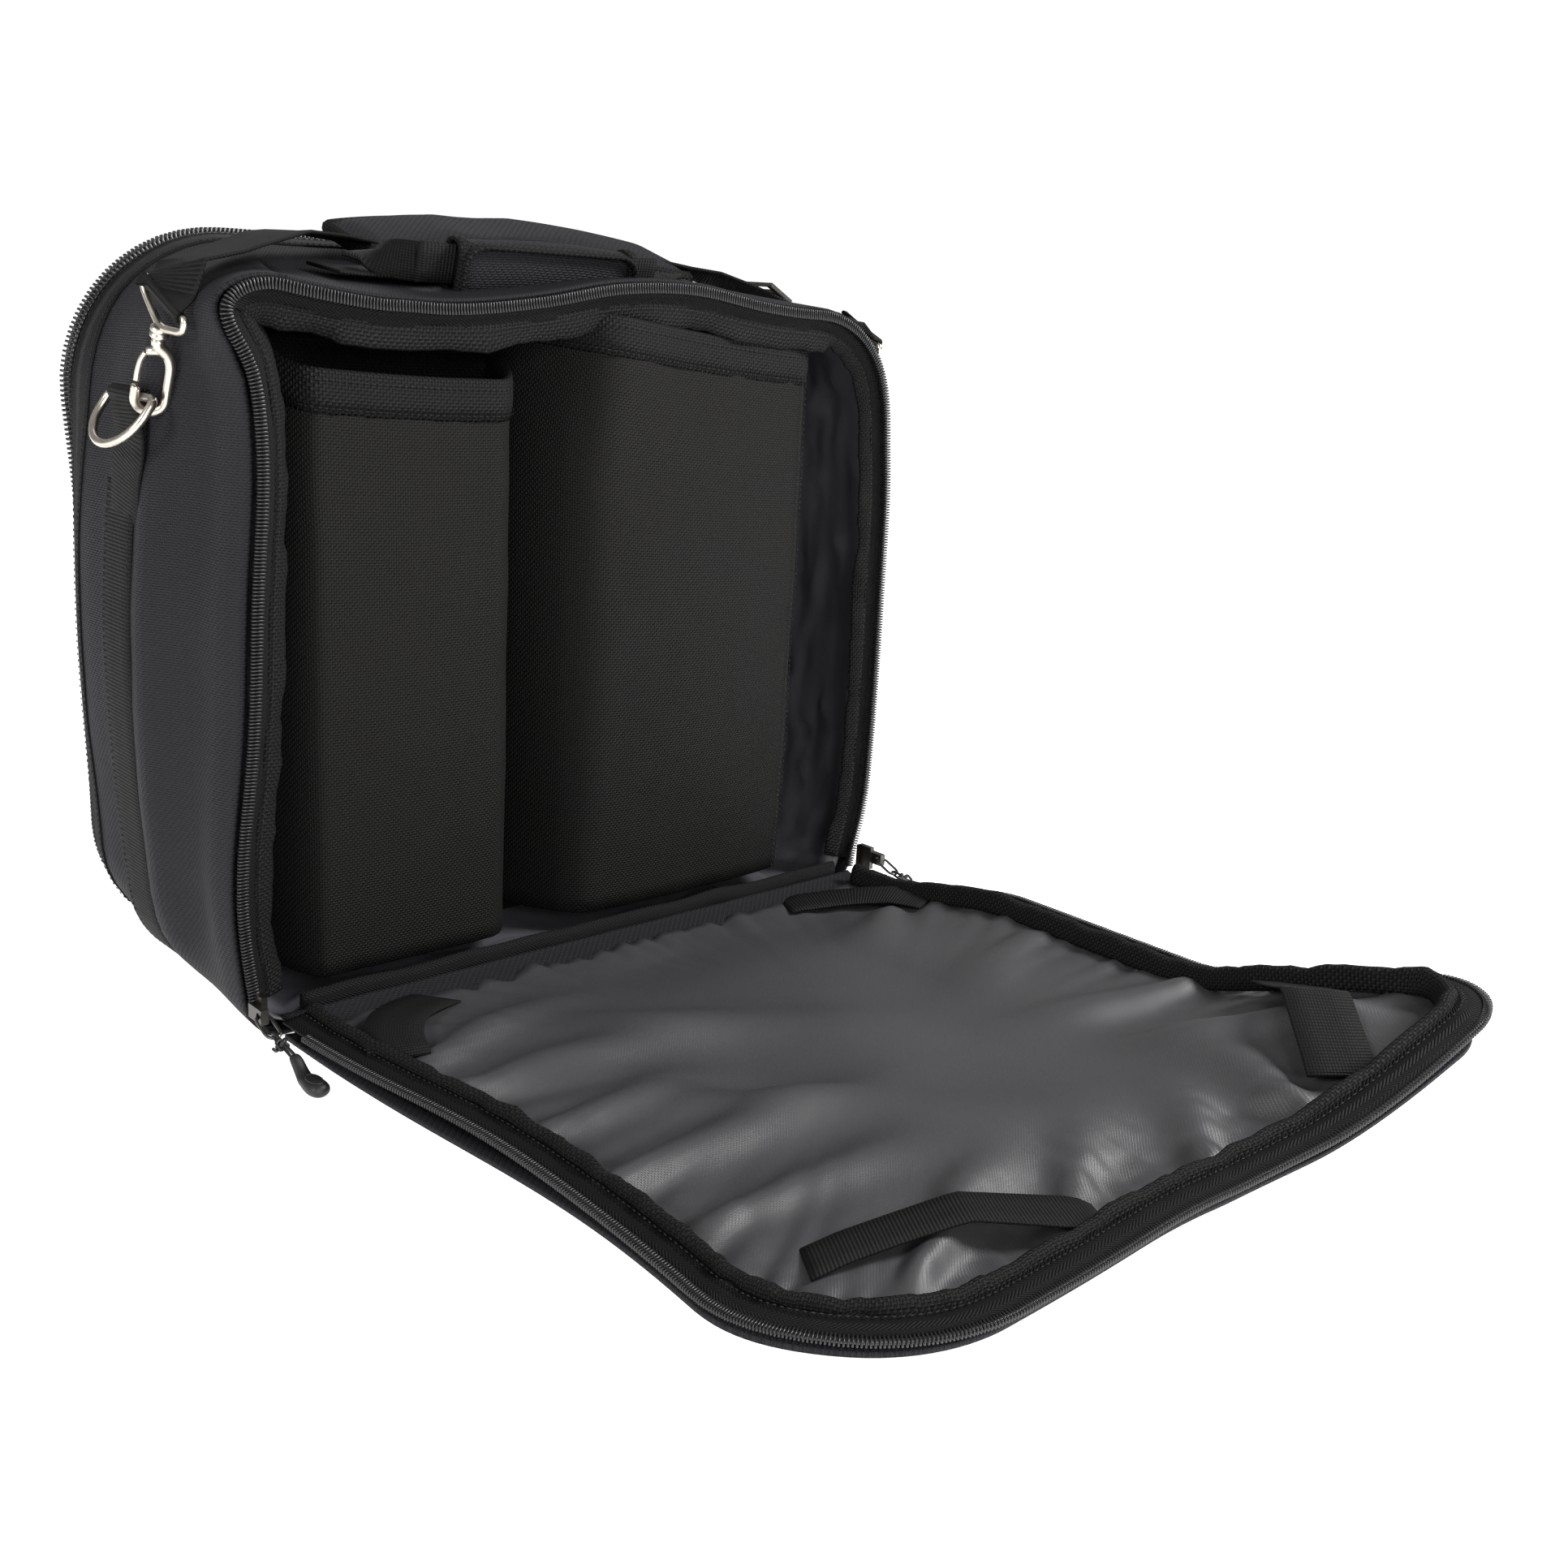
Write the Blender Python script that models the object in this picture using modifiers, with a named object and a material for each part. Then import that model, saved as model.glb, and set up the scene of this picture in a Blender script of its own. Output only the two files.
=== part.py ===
"""Soft flight bag for a pilot, standing with its front flap open on the ground.

Frame: origin under the middle of the base, +X to the right seen from the open side,
which faces -Y, and +Z up. Sizes are in metres. Blender 4.5.
"""
import math

import bmesh
import bpy
from mathutils import Matrix, Vector

# Driving dimensions -------------------------------------------------------------------
WIDTH = 0.400              # outside width of the body
FRONT_Y = -0.093           # front edge of the body panels, just behind the front zip
REAR_SEAM_Y = 0.078        # rear edge of the body panels
REAR_Y = 0.093             # rear end of the gusset, just in front of the rear zip
HEIGHT_FRONT = 0.346       # height of the top panel at the front zip
HEIGHT_REAR = 0.366        # and at the rear zip
PANEL = 0.003              # padded panel thickness
GAP = 0.0004               # clearance between sewn neighbours
TOP_RADIUS_FRONT = {-1: 0.030, 1: 0.065}
TOP_RADIUS_REAR = {-1: 0.083, 1: 0.083}
BASE_RADIUS_FRONT = 0.022
BASE_RADIUS_REAR = 0.055
ARC_STEPS = 6

COIL_RADIUS = 0.0022       # half the width of one zip coil
COIL_INSET = 0.002         # the coils run this far inside the body's outline
RIM_COIL_Y = -0.0965
FLAP_COIL_Z = 0.0155
REAR_COIL_Y = 0.0965
DOOR_COIL_Y = 0.1015
REAR_COIL_FOOT = 0.030     # the rear zip starts this far up each side
DOOR_FOOT = 0.0135

HINGE_Y = 0.107            # both fabric hinges lie this far from the middle
HINGE_Z = 0.010
FLAP_FAR_Y = -0.487        # far edge of the open flap's zip
FLAP_NEAR_Y = -0.1095
FLAP_RADIUS = {-1: 0.095, 1: 0.045}

STRAP_WIDTH = 0.038        # shoulder and handle webbing
SIDE_STRAP_WIDTH = 0.032
WEBBING = 0.0016
SIDE_STRAP_Y = 0.010

RING_BAR = Vector((0.2125, -0.013, 0.292))    # middle of a D-ring's straight bar
RING_WIRE = 0.0019
RING_HALF_WIDTH = 0.0245
RING_DEPTH = 0.026
RING_LEAN = math.radians(35)

HOOK_EYE = Vector((0.2125, -0.0290, 0.292))   # where the D-ring passes the hook
HOOK_TILT = math.radians(24)                  # the hook leans forward going up
HOOK_TURN = math.radians(20)
HOOK_WIRE = 0.0021
HOOK_INNER = 0.0045
HOOK_LENGTH = 0.025
SWIVEL_RISE = 0.034

STRAP_RUN = {               # the left strap lies slack and high, the right one hugs the corner
    -1: [(0.2045, -0.0480, 0.3500), (0.1880, -0.0400, 0.3540), (0.1660, -0.0240, 0.3598),
         (0.1430, -0.0040, 0.3640), (0.1270, 0.0120, 0.3690), (0.1145, 0.0240, 0.3715)],
    1: [(0.2055, -0.0485, 0.3410), (0.1950, -0.0440, 0.3370), (0.1840, -0.0340, 0.3385),
        (0.1740, -0.0240, 0.3440), (0.1460, 0.0040, 0.3594), (0.1300, 0.0150, 0.3640),
        (0.1145, 0.0240, 0.3680)],
}
PAD_MIDDLE = Vector((0.0, 0.0300, 0.3690))
PAD_HALF_LENGTH = 0.1135
PAD_WIDTH = 0.0600
PAD_THICKNESS = 0.0090
PAD_ARCH = 0.0090
PAD_LEAN = math.radians(14)                   # its rear edge lies higher

HANDLE_PIVOT = Vector((-0.018, -0.030, 0.3567))
SLIDER_X = 0.2006          # inner face of the outboard zip slider plates
FRONT_SLIDER_Z = 0.020
REAR_SLIDER_Z = 0.064
PULL_PIVOT_Y = 0.107
PULL_X = 0.2056             # middle of the pulls, outboard of the plates
PULL_HALF = 0.0036         # half the width of a wire pull

# Looks: colour, roughness, metallic ------------------------------------------------------
LOOKS = {
    "twill": ((0.045, 0.046, 0.052), 0.70, 0.0),
    "ballistic": ((0.042, 0.038, 0.036), 0.80, 0.0),
    "webbing": ((0.022, 0.021, 0.022), 0.75, 0.0),
    "satin": ((0.095, 0.095, 0.105), 0.45, 0.0),
    "coil": ((0.012, 0.012, 0.013), 0.30, 0.0),
    "foam": ((0.10, 0.10, 0.10), 0.90, 0.0),
    "board": ((0.75, 0.75, 0.73), 0.40, 0.0),
    "nickel": ((0.62, 0.57, 0.50), 0.30, 1.0),
    "dark_metal": ((0.10, 0.095, 0.09), 0.35, 1.0),
    "rubber": ((0.02, 0.02, 0.02), 0.60, 0.0),
}

XZ_PLANE = Matrix(((1, 0, 0, 0), (0, 0, -1, 0), (0, 1, 0, 0), (0, 0, 0, 1)))
YZ_PLANE = Matrix(((0, 0, 1, 0), (1, 0, 0, 0), (0, 1, 0, 0), (0, 0, 0, 1)))


# Scene and modelling helpers -------------------------------------------------------------
def clear_scene():
    """Remove whatever the file holds."""
    for item in list(bpy.data.objects):
        bpy.data.objects.remove(item, do_unlink=True)


def new_collection(name):
    """A collection under the scene's own."""
    collection = bpy.data.collections.new(name)
    bpy.context.scene.collection.children.link(collection)
    return collection


def new_material(name, look):
    """One Principled material for one part."""
    colour, roughness, metallic = LOOKS[look]
    material = bpy.data.materials.new(name)
    material.use_nodes = True
    shader = material.node_tree.nodes["Principled BSDF"]
    shader.inputs["Base Color"].default_value = (*colour, 1.0)
    shader.inputs["Roughness"].default_value = roughness
    shader.inputs["Metallic"].default_value = metallic
    return material


def add_part(name, data, look, frame=Matrix()):
    """Link one part's data to the bag's collection, with its material."""
    data.materials.append(new_material(name + "_finish", look))
    part = bpy.data.objects.new(name, data)
    part.matrix_world = frame
    PARTS.objects.link(part)
    return part


def add_mesh(name, shape, look):
    """Turn a bmesh into a part."""
    mesh = bpy.data.meshes.new(name)
    shape.to_mesh(mesh)
    shape.free()
    return add_part(name, mesh, look)


def block(name, low, high, look, edge=0.0):
    """A box between two corners, with rounded edges when edge is set."""
    low = Vector(low)
    high = Vector(high)
    shape = bmesh.new()
    bmesh.ops.create_cube(shape, size=1.0)
    bmesh.ops.scale(shape, vec=high - low, verts=shape.verts)
    bmesh.ops.translate(shape, vec=(low + high) / 2, verts=shape.verts)
    part = add_mesh(name, shape, look)
    if edge:
        bevel = part.modifiers.new("edges", "BEVEL")
        bevel.width = edge
        bevel.segments = 2
    return part


def plate(name, outline, thickness, middle, look, plane=Matrix(), holes=()):
    """A flat outline filled and extruded; middle is the place of its mid plane."""
    curve = bpy.data.curves.new(name, "CURVE")
    curve.dimensions = "2D"
    curve.fill_mode = "BOTH"
    curve.extrude = thickness / 2
    for loop in (outline, *holes):
        spline = curve.splines.new("POLY")
        spline.points.add(len(loop) - 1)
        for point, (u, v) in zip(spline.points, loop):
            point.co = (u, v, 0.0, 1.0)
        spline.use_cyclic_u = True
    return add_part(name, curve, look, Matrix.Translation(middle) @ plane)


def tube(name, points, radius, look, closed=False, sides=2):
    """A round wire or coil along a list of points."""
    curve = bpy.data.curves.new(name, "CURVE")
    curve.dimensions = "3D"
    curve.bevel_depth = radius
    curve.bevel_resolution = sides
    curve.use_fill_caps = not closed
    spline = curve.splines.new("POLY")
    spline.points.add(len(points) - 1)
    for point, place in zip(spline.points, points):
        point.co = (*place, 1.0)
    spline.use_cyclic_u = closed
    return add_part(name, curve, look)


def shell(name, rows, thickness, look, offset=1.0):
    """An open sheet through rows of points, thickened on one side."""
    shape = bmesh.new()
    grid = [[shape.verts.new(point) for point in row] for row in rows]
    for first, second in zip(grid, grid[1:]):
        for k in range(len(first) - 1):
            shape.faces.new((first[k], first[k + 1], second[k + 1], second[k]))
    part = add_mesh(name, shape, look)
    solid = part.modifiers.new("thickness", "SOLIDIFY")
    solid.thickness = thickness
    solid.offset = offset
    return part


def ribbon(name, path, look, thickness=WEBBING):
    """Webbing through (middle, half width vector) pairs."""
    rows = [(middle - half, middle + half) for middle, half in path]
    return shell(name, rows, thickness, look, offset=0.0)


def as_mesh(part):
    """Replace a curve part by its welded mesh, so that Booleans can use it."""
    bpy.context.view_layer.update()
    evaluated = part.evaluated_get(bpy.context.evaluated_depsgraph_get())
    mesh = bpy.data.meshes.new_from_object(evaluated)
    shape = bmesh.new()
    shape.from_mesh(mesh)
    bmesh.ops.remove_doubles(shape, verts=shape.verts, dist=1e-5)
    shape.to_mesh(mesh)
    shape.free()
    name = part.name
    frame = part.matrix_world.copy()
    bpy.data.objects.remove(part, do_unlink=True)
    solid = bpy.data.objects.new(name, mesh)
    solid.matrix_world = frame
    PARTS.objects.link(solid)
    return solid


def merge(part, tool, operation):
    """Boolean one object with another, which becomes a hidden cutter."""
    PARTS.objects.unlink(tool)
    CUTTERS.objects.link(tool)
    tool.hide_render = True
    tool.display_type = "WIRE"
    boolean = part.modifiers.new(tool.name, "BOOLEAN")
    boolean.operation = operation
    boolean.object = tool
    return part


def pivot(name, place, parts):
    """An empty on a joint axis that carries the parts that turn on it."""
    empty = bpy.data.objects.new(name, None)
    empty.location = place
    empty.empty_display_size = 0.02
    PARTS.objects.link(empty)
    inverse = Matrix.Translation(place).inverted()
    for part in parts:
        part.parent = empty
        part.matrix_parent_inverse = inverse
    return empty


# Outlines --------------------------------------------------------------------------------
def arc(centre, radius, start, end, steps=ARC_STEPS):
    """Points on an arc in a plane, angles in degrees, both ends included."""
    points = []
    for k in range(steps + 1):
        angle = math.radians(start + (end - start) * k / steps)
        points.append((centre[0] + radius * math.cos(angle), centre[1] + radius * math.sin(angle)))
    return points


def mix(first, second, share):
    return first + (second - first) * share


def depth_share(y):
    """0 at the front edge of the body, 1 at its rear."""
    return (y - FRONT_Y) / (REAR_Y - FRONT_Y)


def top_height(y):
    return mix(HEIGHT_FRONT, HEIGHT_REAR, depth_share(y))


def side_outline(side, y, inset=0.0):
    """The body's outline at depth y in X and Z, from the base seam up to the top seam."""
    share = depth_share(y)
    top_radius = mix(TOP_RADIUS_FRONT[side], TOP_RADIUS_REAR[side], share)
    base_radius = mix(BASE_RADIUS_FRONT, BASE_RADIUS_REAR, share)
    half = WIDTH / 2
    base = arc((half - base_radius, base_radius), base_radius - inset, -90, 0)
    top = arc((half - top_radius, top_height(y) - top_radius), top_radius - inset, 0, 90)
    return [(side * x, z) for x, z in base + top]


def body_outline(y, inset=0.0):
    """The left side, the top and the right side as one run of points."""
    return side_outline(-1, y, inset) + side_outline(1, y, inset)[::-1]


def arch(half_width, foot, height, radius, inset=0.0):
    """A doorway outline, round at both top corners and open at its foot."""
    half = half_width - inset
    left = arc((radius[-1] - half_width, height - radius[-1]), radius[-1] - inset, 180, 90)
    right = arc((half_width - radius[1], height - radius[1]), radius[1] - inset, 90, 0)
    return [(-half, foot)] + left + right + [(half, foot)]


def at_depth(outline, y):
    return [Vector((x, y, z)) for x, z in outline]


def on_ground(outline, z):
    """Lay an arch outline on the ground, its top away from the bag."""
    return [Vector((x, -v, z)) for x, v in outline]


# Body ------------------------------------------------------------------------------------
def make_body_panels():
    """Padded outer panels: two sides, the top and the base."""
    names = {-1: "side_panel_left", 1: "side_panel_right"}
    for side, name in names.items():
        rows = [at_depth(side_outline(side, y), y) for y in (FRONT_Y, REAR_SEAM_Y)]
        shell(name, rows, PANEL, "twill", offset=side)
    rows = []
    for y in (FRONT_Y, REAR_SEAM_Y):
        left = side_outline(-1, y)[-1][0] + 3 * GAP
        right = side_outline(1, y)[-1][0] - 3 * GAP
        rows.append([Vector((left, y, top_height(y))), Vector((right, y, top_height(y)))])
    shell("top_panel", rows, PANEL, "twill", offset=-1.0)
    front = WIDTH / 2 - BASE_RADIUS_FRONT - 3 * GAP
    rear = WIDTH / 2 - BASE_RADIUS_REAR - 3 * GAP
    outline = [(-front, -HINGE_Y + GAP), (front, -HINGE_Y + GAP), (front, FRONT_Y), (rear, REAR_Y),
               (rear, HINGE_Y - GAP), (-rear, HINGE_Y - GAP), (-rear, REAR_Y), (-front, FRONT_Y)]
    plate("base_panel", outline, PANEL, (0, 0, PANEL / 2), "twill")


def make_rear_gusset():
    """The ribbed tape between the body panels and the rear zip."""
    rows = [at_depth(body_outline(y), y) for y in (REAR_SEAM_Y + GAP, REAR_Y - 0.0002)]
    shell("rear_zip_tape", rows, 0.0014, "webbing", offset=-1.0)


def make_linings():
    """Inner sleeve, stiff base board, divider, and the bound partition with its board."""
    inset = PANEL + GAP
    rows = []
    for y in (FRONT_Y + 0.003, 0.0445):
        ring = at_depth(body_outline(y, inset), y)
        rows.append(ring + [ring[0].copy()])
    sleeve = shell("main_lining", rows, 0.0008, "satin", offset=-1.0)
    weld = sleeve.modifiers.new("close", "WELD")
    weld.merge_threshold = 0.0001
    sleeve.modifiers.move(1, 0)
    block("base_board", (-0.150, -0.086, 0.0047), (0.150, 0.030, 0.0071), "board", 0.0008)
    wall = body_outline(0.0475, inset + 0.0006)
    plate("divider_panel", wall, 0.004, (0, 0.0475, 0), "satin", XZ_PLANE)
    top = {-1: 0.012, 1: 0.012}
    plate("partition_panel", arch(0.177, 0.0085, 0.314, top), 0.0024, (0, -0.0285, 0),
          "ballistic", XZ_PLANE)
    curve = {-1: 0.060, 1: 0.060}
    plate("partition_board", arch(0.090, 0.0100, 0.320, curve), 0.0012, (0.005, -0.0263, 0),
          "board", XZ_PLANE)
    loop = [(Vector((-0.118, 0.004, 0.3400)), Vector((0.004, 0.0, 0.002))),
            (Vector((-0.112, 0.003, 0.3300)), Vector((0.004, 0.0, 0.002))),
            (Vector((-0.101, 0.002, 0.3140)), Vector((0.004, 0.0, 0.002))),
            (Vector((-0.096, 0.002, 0.3000)), Vector((0.004, 0.0, 0.001)))]
    ribbon("interior_loop", loop, "webbing", 0.0014)


def make_pouch(name, low, high, wall=0.0022):
    """An open-topped pouch: a box with its inside cut away down to the floor."""
    pouch = block(name, low, high, "ballistic")
    low = Vector(low)
    high = Vector(high)
    inner_low = low + Vector((wall, wall, wall))
    inner_high = high + Vector((-wall, -wall, 0.010))
    cutter = block(name + "_space", inner_low, inner_high, "ballistic")
    return merge(pouch, cutter, "DIFFERENCE")


def make_pouches():
    """The two headset pouches in front of the partition."""
    make_pouch("pouch_left", (-0.174, -0.0850, 0.028), (-0.050, -0.0305, 0.308))
    make_pouch("pouch_right", (-0.036, -0.0885, 0.024), (0.152, -0.0305, 0.330))


# Front zip and flap ------------------------------------------------------------------------
def band(outer, inner):
    """A closed outline between two doorway outlines."""
    return outer + inner[::-1]


def make_rim():
    """Zip coil, zip tape and binding round the front opening."""
    path = arch(WIDTH / 2, 0.016, HEIGHT_FRONT, TOP_RADIUS_FRONT, COIL_INSET)
    tube("rim_zip_coil", at_depth(path, RIM_COIL_Y), COIL_RADIUS, "coil")

    def rim(inset):
        return arch(WIDTH / 2, 0.024, HEIGHT_FRONT, TOP_RADIUS_FRONT, inset)

    plate("rim_zip_tape", band(rim(0.0036), rim(0.0100)), 0.0010, (0, -0.0930, 0),
          "webbing", XZ_PLANE)
    plate("rim_binding", band(rim(0.0104), rim(0.0190)), 0.0026, (0, -0.0922, 0),
          "webbing", XZ_PLANE)
    block("hinge_binding", (-0.176, -0.0957, 0.0080), (0.176, -0.0908, 0.0190), "webbing", 0.001)


def flap_outline(inset, near=FLAP_NEAR_Y):
    """The flap's outline, inset from the line of its zip coil, as X and distance."""
    return arch(WIDTH / 2, -near, COIL_INSET - FLAP_FAR_Y, FLAP_RADIUS, inset)


def flap_layer(name, outline, low, high, look):
    """One flat layer of the flap between two heights."""
    ground = [(x, -v) for x, v in outline]
    return plate(name, ground, high - low, (0, 0, (low + high) / 2), look)


def make_corner_band(name, start, end, width=0.027):
    """A webbing band across a corner of the flap lining."""
    start = Vector(start)
    end = Vector(end)
    along = (end - start).normalized()
    across = Vector((-along.y, along.x)) * width / 2
    outline = [start - across, end - across, end + across, start + across]
    return plate(name, [tuple(point) for point in outline], 0.0012, (0, 0, 0.0121), "webbing")


def make_flap():
    """Front flap, lying open: outer panel, foam, lining, tape, coil, binding and bands."""
    parts = [
        flap_layer("flap_outer_panel", flap_outline(0.0045), 0.0, 0.0025, "twill"),
        flap_layer("flap_foam", flap_outline(0.014), 0.0029, 0.0077, "foam"),
        flap_layer("flap_lining", flap_outline(0.014), 0.0081, 0.0111, "satin"),
        flap_layer("flap_zip_tape", band(flap_outline(0.0046, -0.135), flap_outline(0.0136, -0.135)),
                   0.0146, 0.0156, "webbing"),
        flap_layer("flap_binding", band(flap_outline(0.0140), flap_outline(0.0260)),
                   0.0115, 0.0178, "webbing"),
    ]
    coil = flap_outline(COIL_INSET, -0.132)
    parts.append(tube("flap_zip_coil", on_ground(coil, FLAP_COIL_Z), COIL_RADIUS, "coil"))
    corners = {
        "flap_corner_band_far_left": ((-0.150, -0.385), (-0.060, -0.438)),
        "flap_corner_band_far_right": ((0.100, -0.440), (0.150, -0.390)),
        "flap_corner_band_near_left": ((-0.155, -0.165), (-0.105, -0.128)),
        "flap_corner_band_near_right": ((0.105, -0.128), (0.155, -0.165)),
    }
    for name, (start, end) in corners.items():
        parts.append(make_corner_band(name, start, end))
    pivot("flap_hinge", (0, -HINGE_Y, HINGE_Z), parts)


# Rear zip and door -------------------------------------------------------------------------
def make_rear_door():
    """Rear door with its half of the rear zip; the body's half stays behind the gusset."""
    path = [(x, z) for x, z in body_outline(REAR_Y, COIL_INSET) if z > REAR_COIL_FOOT]
    tube("rear_zip_coil", at_depth(path, REAR_COIL_Y), COIL_RADIUS, "coil")
    coil = tube("rear_door_zip_coil", at_depth(path, DOOR_COIL_Y), COIL_RADIUS, "coil")
    inset = 0.0046
    reach = math.sqrt((BASE_RADIUS_REAR - inset) ** 2 - (BASE_RADIUS_REAR - DOOR_FOOT) ** 2)
    foot = WIDTH / 2 - BASE_RADIUS_REAR + reach
    outline = [(x, z) for x, z in body_outline(REAR_Y, inset) if z > DOOR_FOOT]
    outline = [(-foot, DOOR_FOOT)] + outline + [(foot, DOOR_FOOT)]
    panel = plate("rear_door_panel", outline, 0.005, (0, 0.1020, 0), "twill", XZ_PLANE)
    pivot("rear_door_hinge", (0, HINGE_Y, HINGE_Z), [coil, panel])


# Zip sliders and pulls ---------------------------------------------------------------------
def make_slider(name, side, end, height):
    """An outboard slider plate with a flange behind the coil and a drilled lug.

    side is the side of the bag, and end is -1 at the front zip and 1 at the rear zip.
    """
    def corners(x, y, z):
        xs = sorted(side * value for value in x)
        ys = sorted(end * value for value in y)
        return (xs[0], ys[0], height + z[0]), (xs[1], ys[1], height + z[1])

    outer = SLIDER_X + 0.0030
    body = block(name, *corners((SLIDER_X, outer), (0.0933, 0.1035), (-0.007, 0.007)), "dark_metal")
    flange = block(name + "_flange",
                   *corners((0.1985, SLIDER_X + 0.001), (0.0933, 0.0939), (-0.007, 0.007)),
                   "dark_metal")
    lug = block(name + "_lug",
                *corners((outer - 0.0004, 0.2072), (0.0975, 0.1100), (-0.0035, 0.0035)),
                "dark_metal")
    hole = bmesh.new()
    turn = Matrix.Rotation(math.pi / 2, 4, "Y")
    bmesh.ops.create_cone(hole, cap_ends=True, segments=12, radius1=0.0017, radius2=0.0017,
                          depth=0.020, matrix=Matrix.Translation((side * 0.2056,
                          end * PULL_PIVOT_Y, height)) @ turn)
    drill = add_mesh(name + "_hole", hole, "dark_metal")
    merge(lug, drill, "DIFFERENCE")
    merge(body, flange, "UNION")
    return merge(body, lug, "UNION")


def loop_points(start, end, half, across, steps=6):
    """An elongated ring from start to end, half as wide as half each way along across."""
    along = (end - start).normalized()
    points = []
    for centre, first in ((end - along * half, 90), (start + along * half, 270)):
        for k in range(steps + 1):
            angle = math.radians(first - 180 * k / steps)
            points.append(centre + along * math.cos(angle) * half + across * math.sin(angle) * half)
    return points


def make_front_pull(side, label):
    """Slider, wire bail, knotted cord loop and moulded grip at one foot of the front zip."""
    slider = make_slider("zip_slider_" + label, side, -1, FRONT_SLIDER_Z)
    hinge = Vector((side * PULL_X, -PULL_PIVOT_Y, FRONT_SLIDER_Z))
    across = Vector((side, 0, 0))
    down = Vector((0, -0.93, -0.37)).normalized()
    bail_end = hinge + down * 0.0155
    bail = tube("zip_bail_" + label,
                loop_points(hinge - down * 0.0003, bail_end, PULL_HALF, across), 0.0008,
                "dark_metal", closed=True)
    lay = Vector((0, -0.985, -0.17)).normalized()
    cord_start = bail_end - lay * 0.0031
    cord_end = cord_start + lay * 0.0245
    upright = lay.cross(across).normalized()
    cord = tube("zip_cord_" + label, loop_points(cord_start, cord_end, 0.0022, upright, 5),
                0.0007, "rubber", closed=True)
    cord = as_mesh(cord)
    knot = bmesh.new()
    bmesh.ops.create_uvsphere(knot, u_segments=10, v_segments=8, radius=0.0031,
                              matrix=Matrix.Translation(cord_start + lay * 0.0090))
    merge(cord, add_mesh("zip_knot_" + label, knot, "rubber"), "UNION")
    grip_start = cord_end - lay * 0.0040
    tip = grip_start + Vector((0, -1, 0)) * 0.0280
    grip_shape = bmesh.new()
    bmesh.ops.create_cube(grip_shape, size=1.0)
    bmesh.ops.scale(grip_shape, vec=(0.0072, 0.0280, 0.0072), verts=grip_shape.verts)
    middle = (grip_start + tip) / 2
    bmesh.ops.translate(grip_shape, vec=(middle.x, middle.y, 0.0042), verts=grip_shape.verts)
    grip = add_mesh("zip_grip_" + label, grip_shape, "rubber")
    rounding = grip.modifiers.new("rounding", "BEVEL")
    rounding.width = 0.0022
    rounding.segments = 2
    slot = block("zip_grip_slot_" + label,
                 (grip_start.x - 0.0014, grip_start.y - 0.0060, -0.001),
                 (grip_start.x + 0.0014, grip_start.y + 0.0010, 0.012), "rubber")
    merge(grip, slot, "DIFFERENCE")
    swing = pivot("zip_pull_pivot_" + label, hinge, [bail, cord, grip])
    pivot("zip_slider_rest_" + label, (side * SLIDER_X, RIM_COIL_Y, FRONT_SLIDER_Z),
          [slider, swing])


def make_rear_pull():
    """The rear zip's slider and its wire pull, at the foot of the right side."""
    slider = make_slider("rear_zip_slider", 1, 1, REAR_SLIDER_Z)
    hinge = Vector((PULL_X, PULL_PIVOT_Y, REAR_SLIDER_Z))
    pull = tube("rear_zip_pull", loop_points(hinge + Vector((0, 0, 0.0003)),
                hinge + Vector((0, 0, -0.034)), PULL_HALF, Vector((1, 0, 0))), 0.0008,
                "dark_metal", closed=True)
    swing = pivot("rear_pull_pivot", hinge, [pull])
    pivot("rear_slider_rest", (SLIDER_X, REAR_COIL_Y, REAR_SLIDER_Z), [slider, swing])


# Side straps, rings and hooks --------------------------------------------------------------
def thick_path(points, thickness):
    """A closed outline that follows a path in a plane at an even thickness."""
    left = []
    right = []
    for k, point in enumerate(points):
        before = Vector(points[max(k - 1, 0)])
        after = Vector(points[min(k + 1, len(points) - 1)])
        along = (after - before).normalized()
        normal = Vector((-along.y, along.x)) * thickness / 2
        left.append(tuple(Vector(point) + normal))
        right.append(tuple(Vector(point) - normal))
    return left + right[::-1]


def make_side_strap(side, label):
    """Webbing sewn down the side, and the folded loop that holds the D-ring."""
    radius = 0.0368
    out = WIDTH / 2 + 0.0014
    curve = arc((WIDTH / 2 - radius, radius), radius + 0.0014, -58, 0, 5)
    path = [(side * x, z) for x, z in curve + [(out, 0.2560)]]
    plate("side_strap_" + label, thick_path(path, 0.0018), SIDE_STRAP_WIDTH,
          (0, SIDE_STRAP_Y, 0), "webbing", XZ_PLANE)
    bar = (RING_BAR.x, RING_BAR.z)
    wrap = arc(bar, 0.0040, -60, 150, 8)
    outline = [(side * x, z) for x, z in [(0.2006, 0.2575), (0.2040, 0.2575)] + wrap]
    hole = [(side * x, z) for x, z in arc(bar, 0.0023, 0, 330, 11)]
    plate("ring_loop_" + label, outline, SIDE_STRAP_WIDTH - 0.002, (0, -0.0060, 0),
          "webbing", XZ_PLANE, [hole])


def make_ring(side, label):
    """A D-ring that swings on its straight bar in the webbing loop."""
    bar = Vector((side * RING_BAR.x, RING_BAR.y + 0.003, RING_BAR.z))
    out = Vector((side * math.sin(RING_LEAN), 0, -math.cos(RING_LEAN)))
    half = RING_HALF_WIDTH
    outline = arc((-half + 0.004, 0.004), 0.004, 270, 180, 3)
    for k in range(9):
        angle = math.pi * (1 - k / 8)
        outline.append((half * math.cos(angle), 0.008 + (RING_DEPTH - 0.008) * math.sin(angle)))
    outline += arc((half - 0.004, 0.004), 0.004, 0, -90, 3)
    points = [bar + Vector((0, u, 0)) + out * v for u, v in outline]
    ring = tube("d_ring_" + label, points, RING_WIRE, "nickel", closed=True)
    pivot("d_ring_pivot_" + label, bar, [ring])


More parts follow.
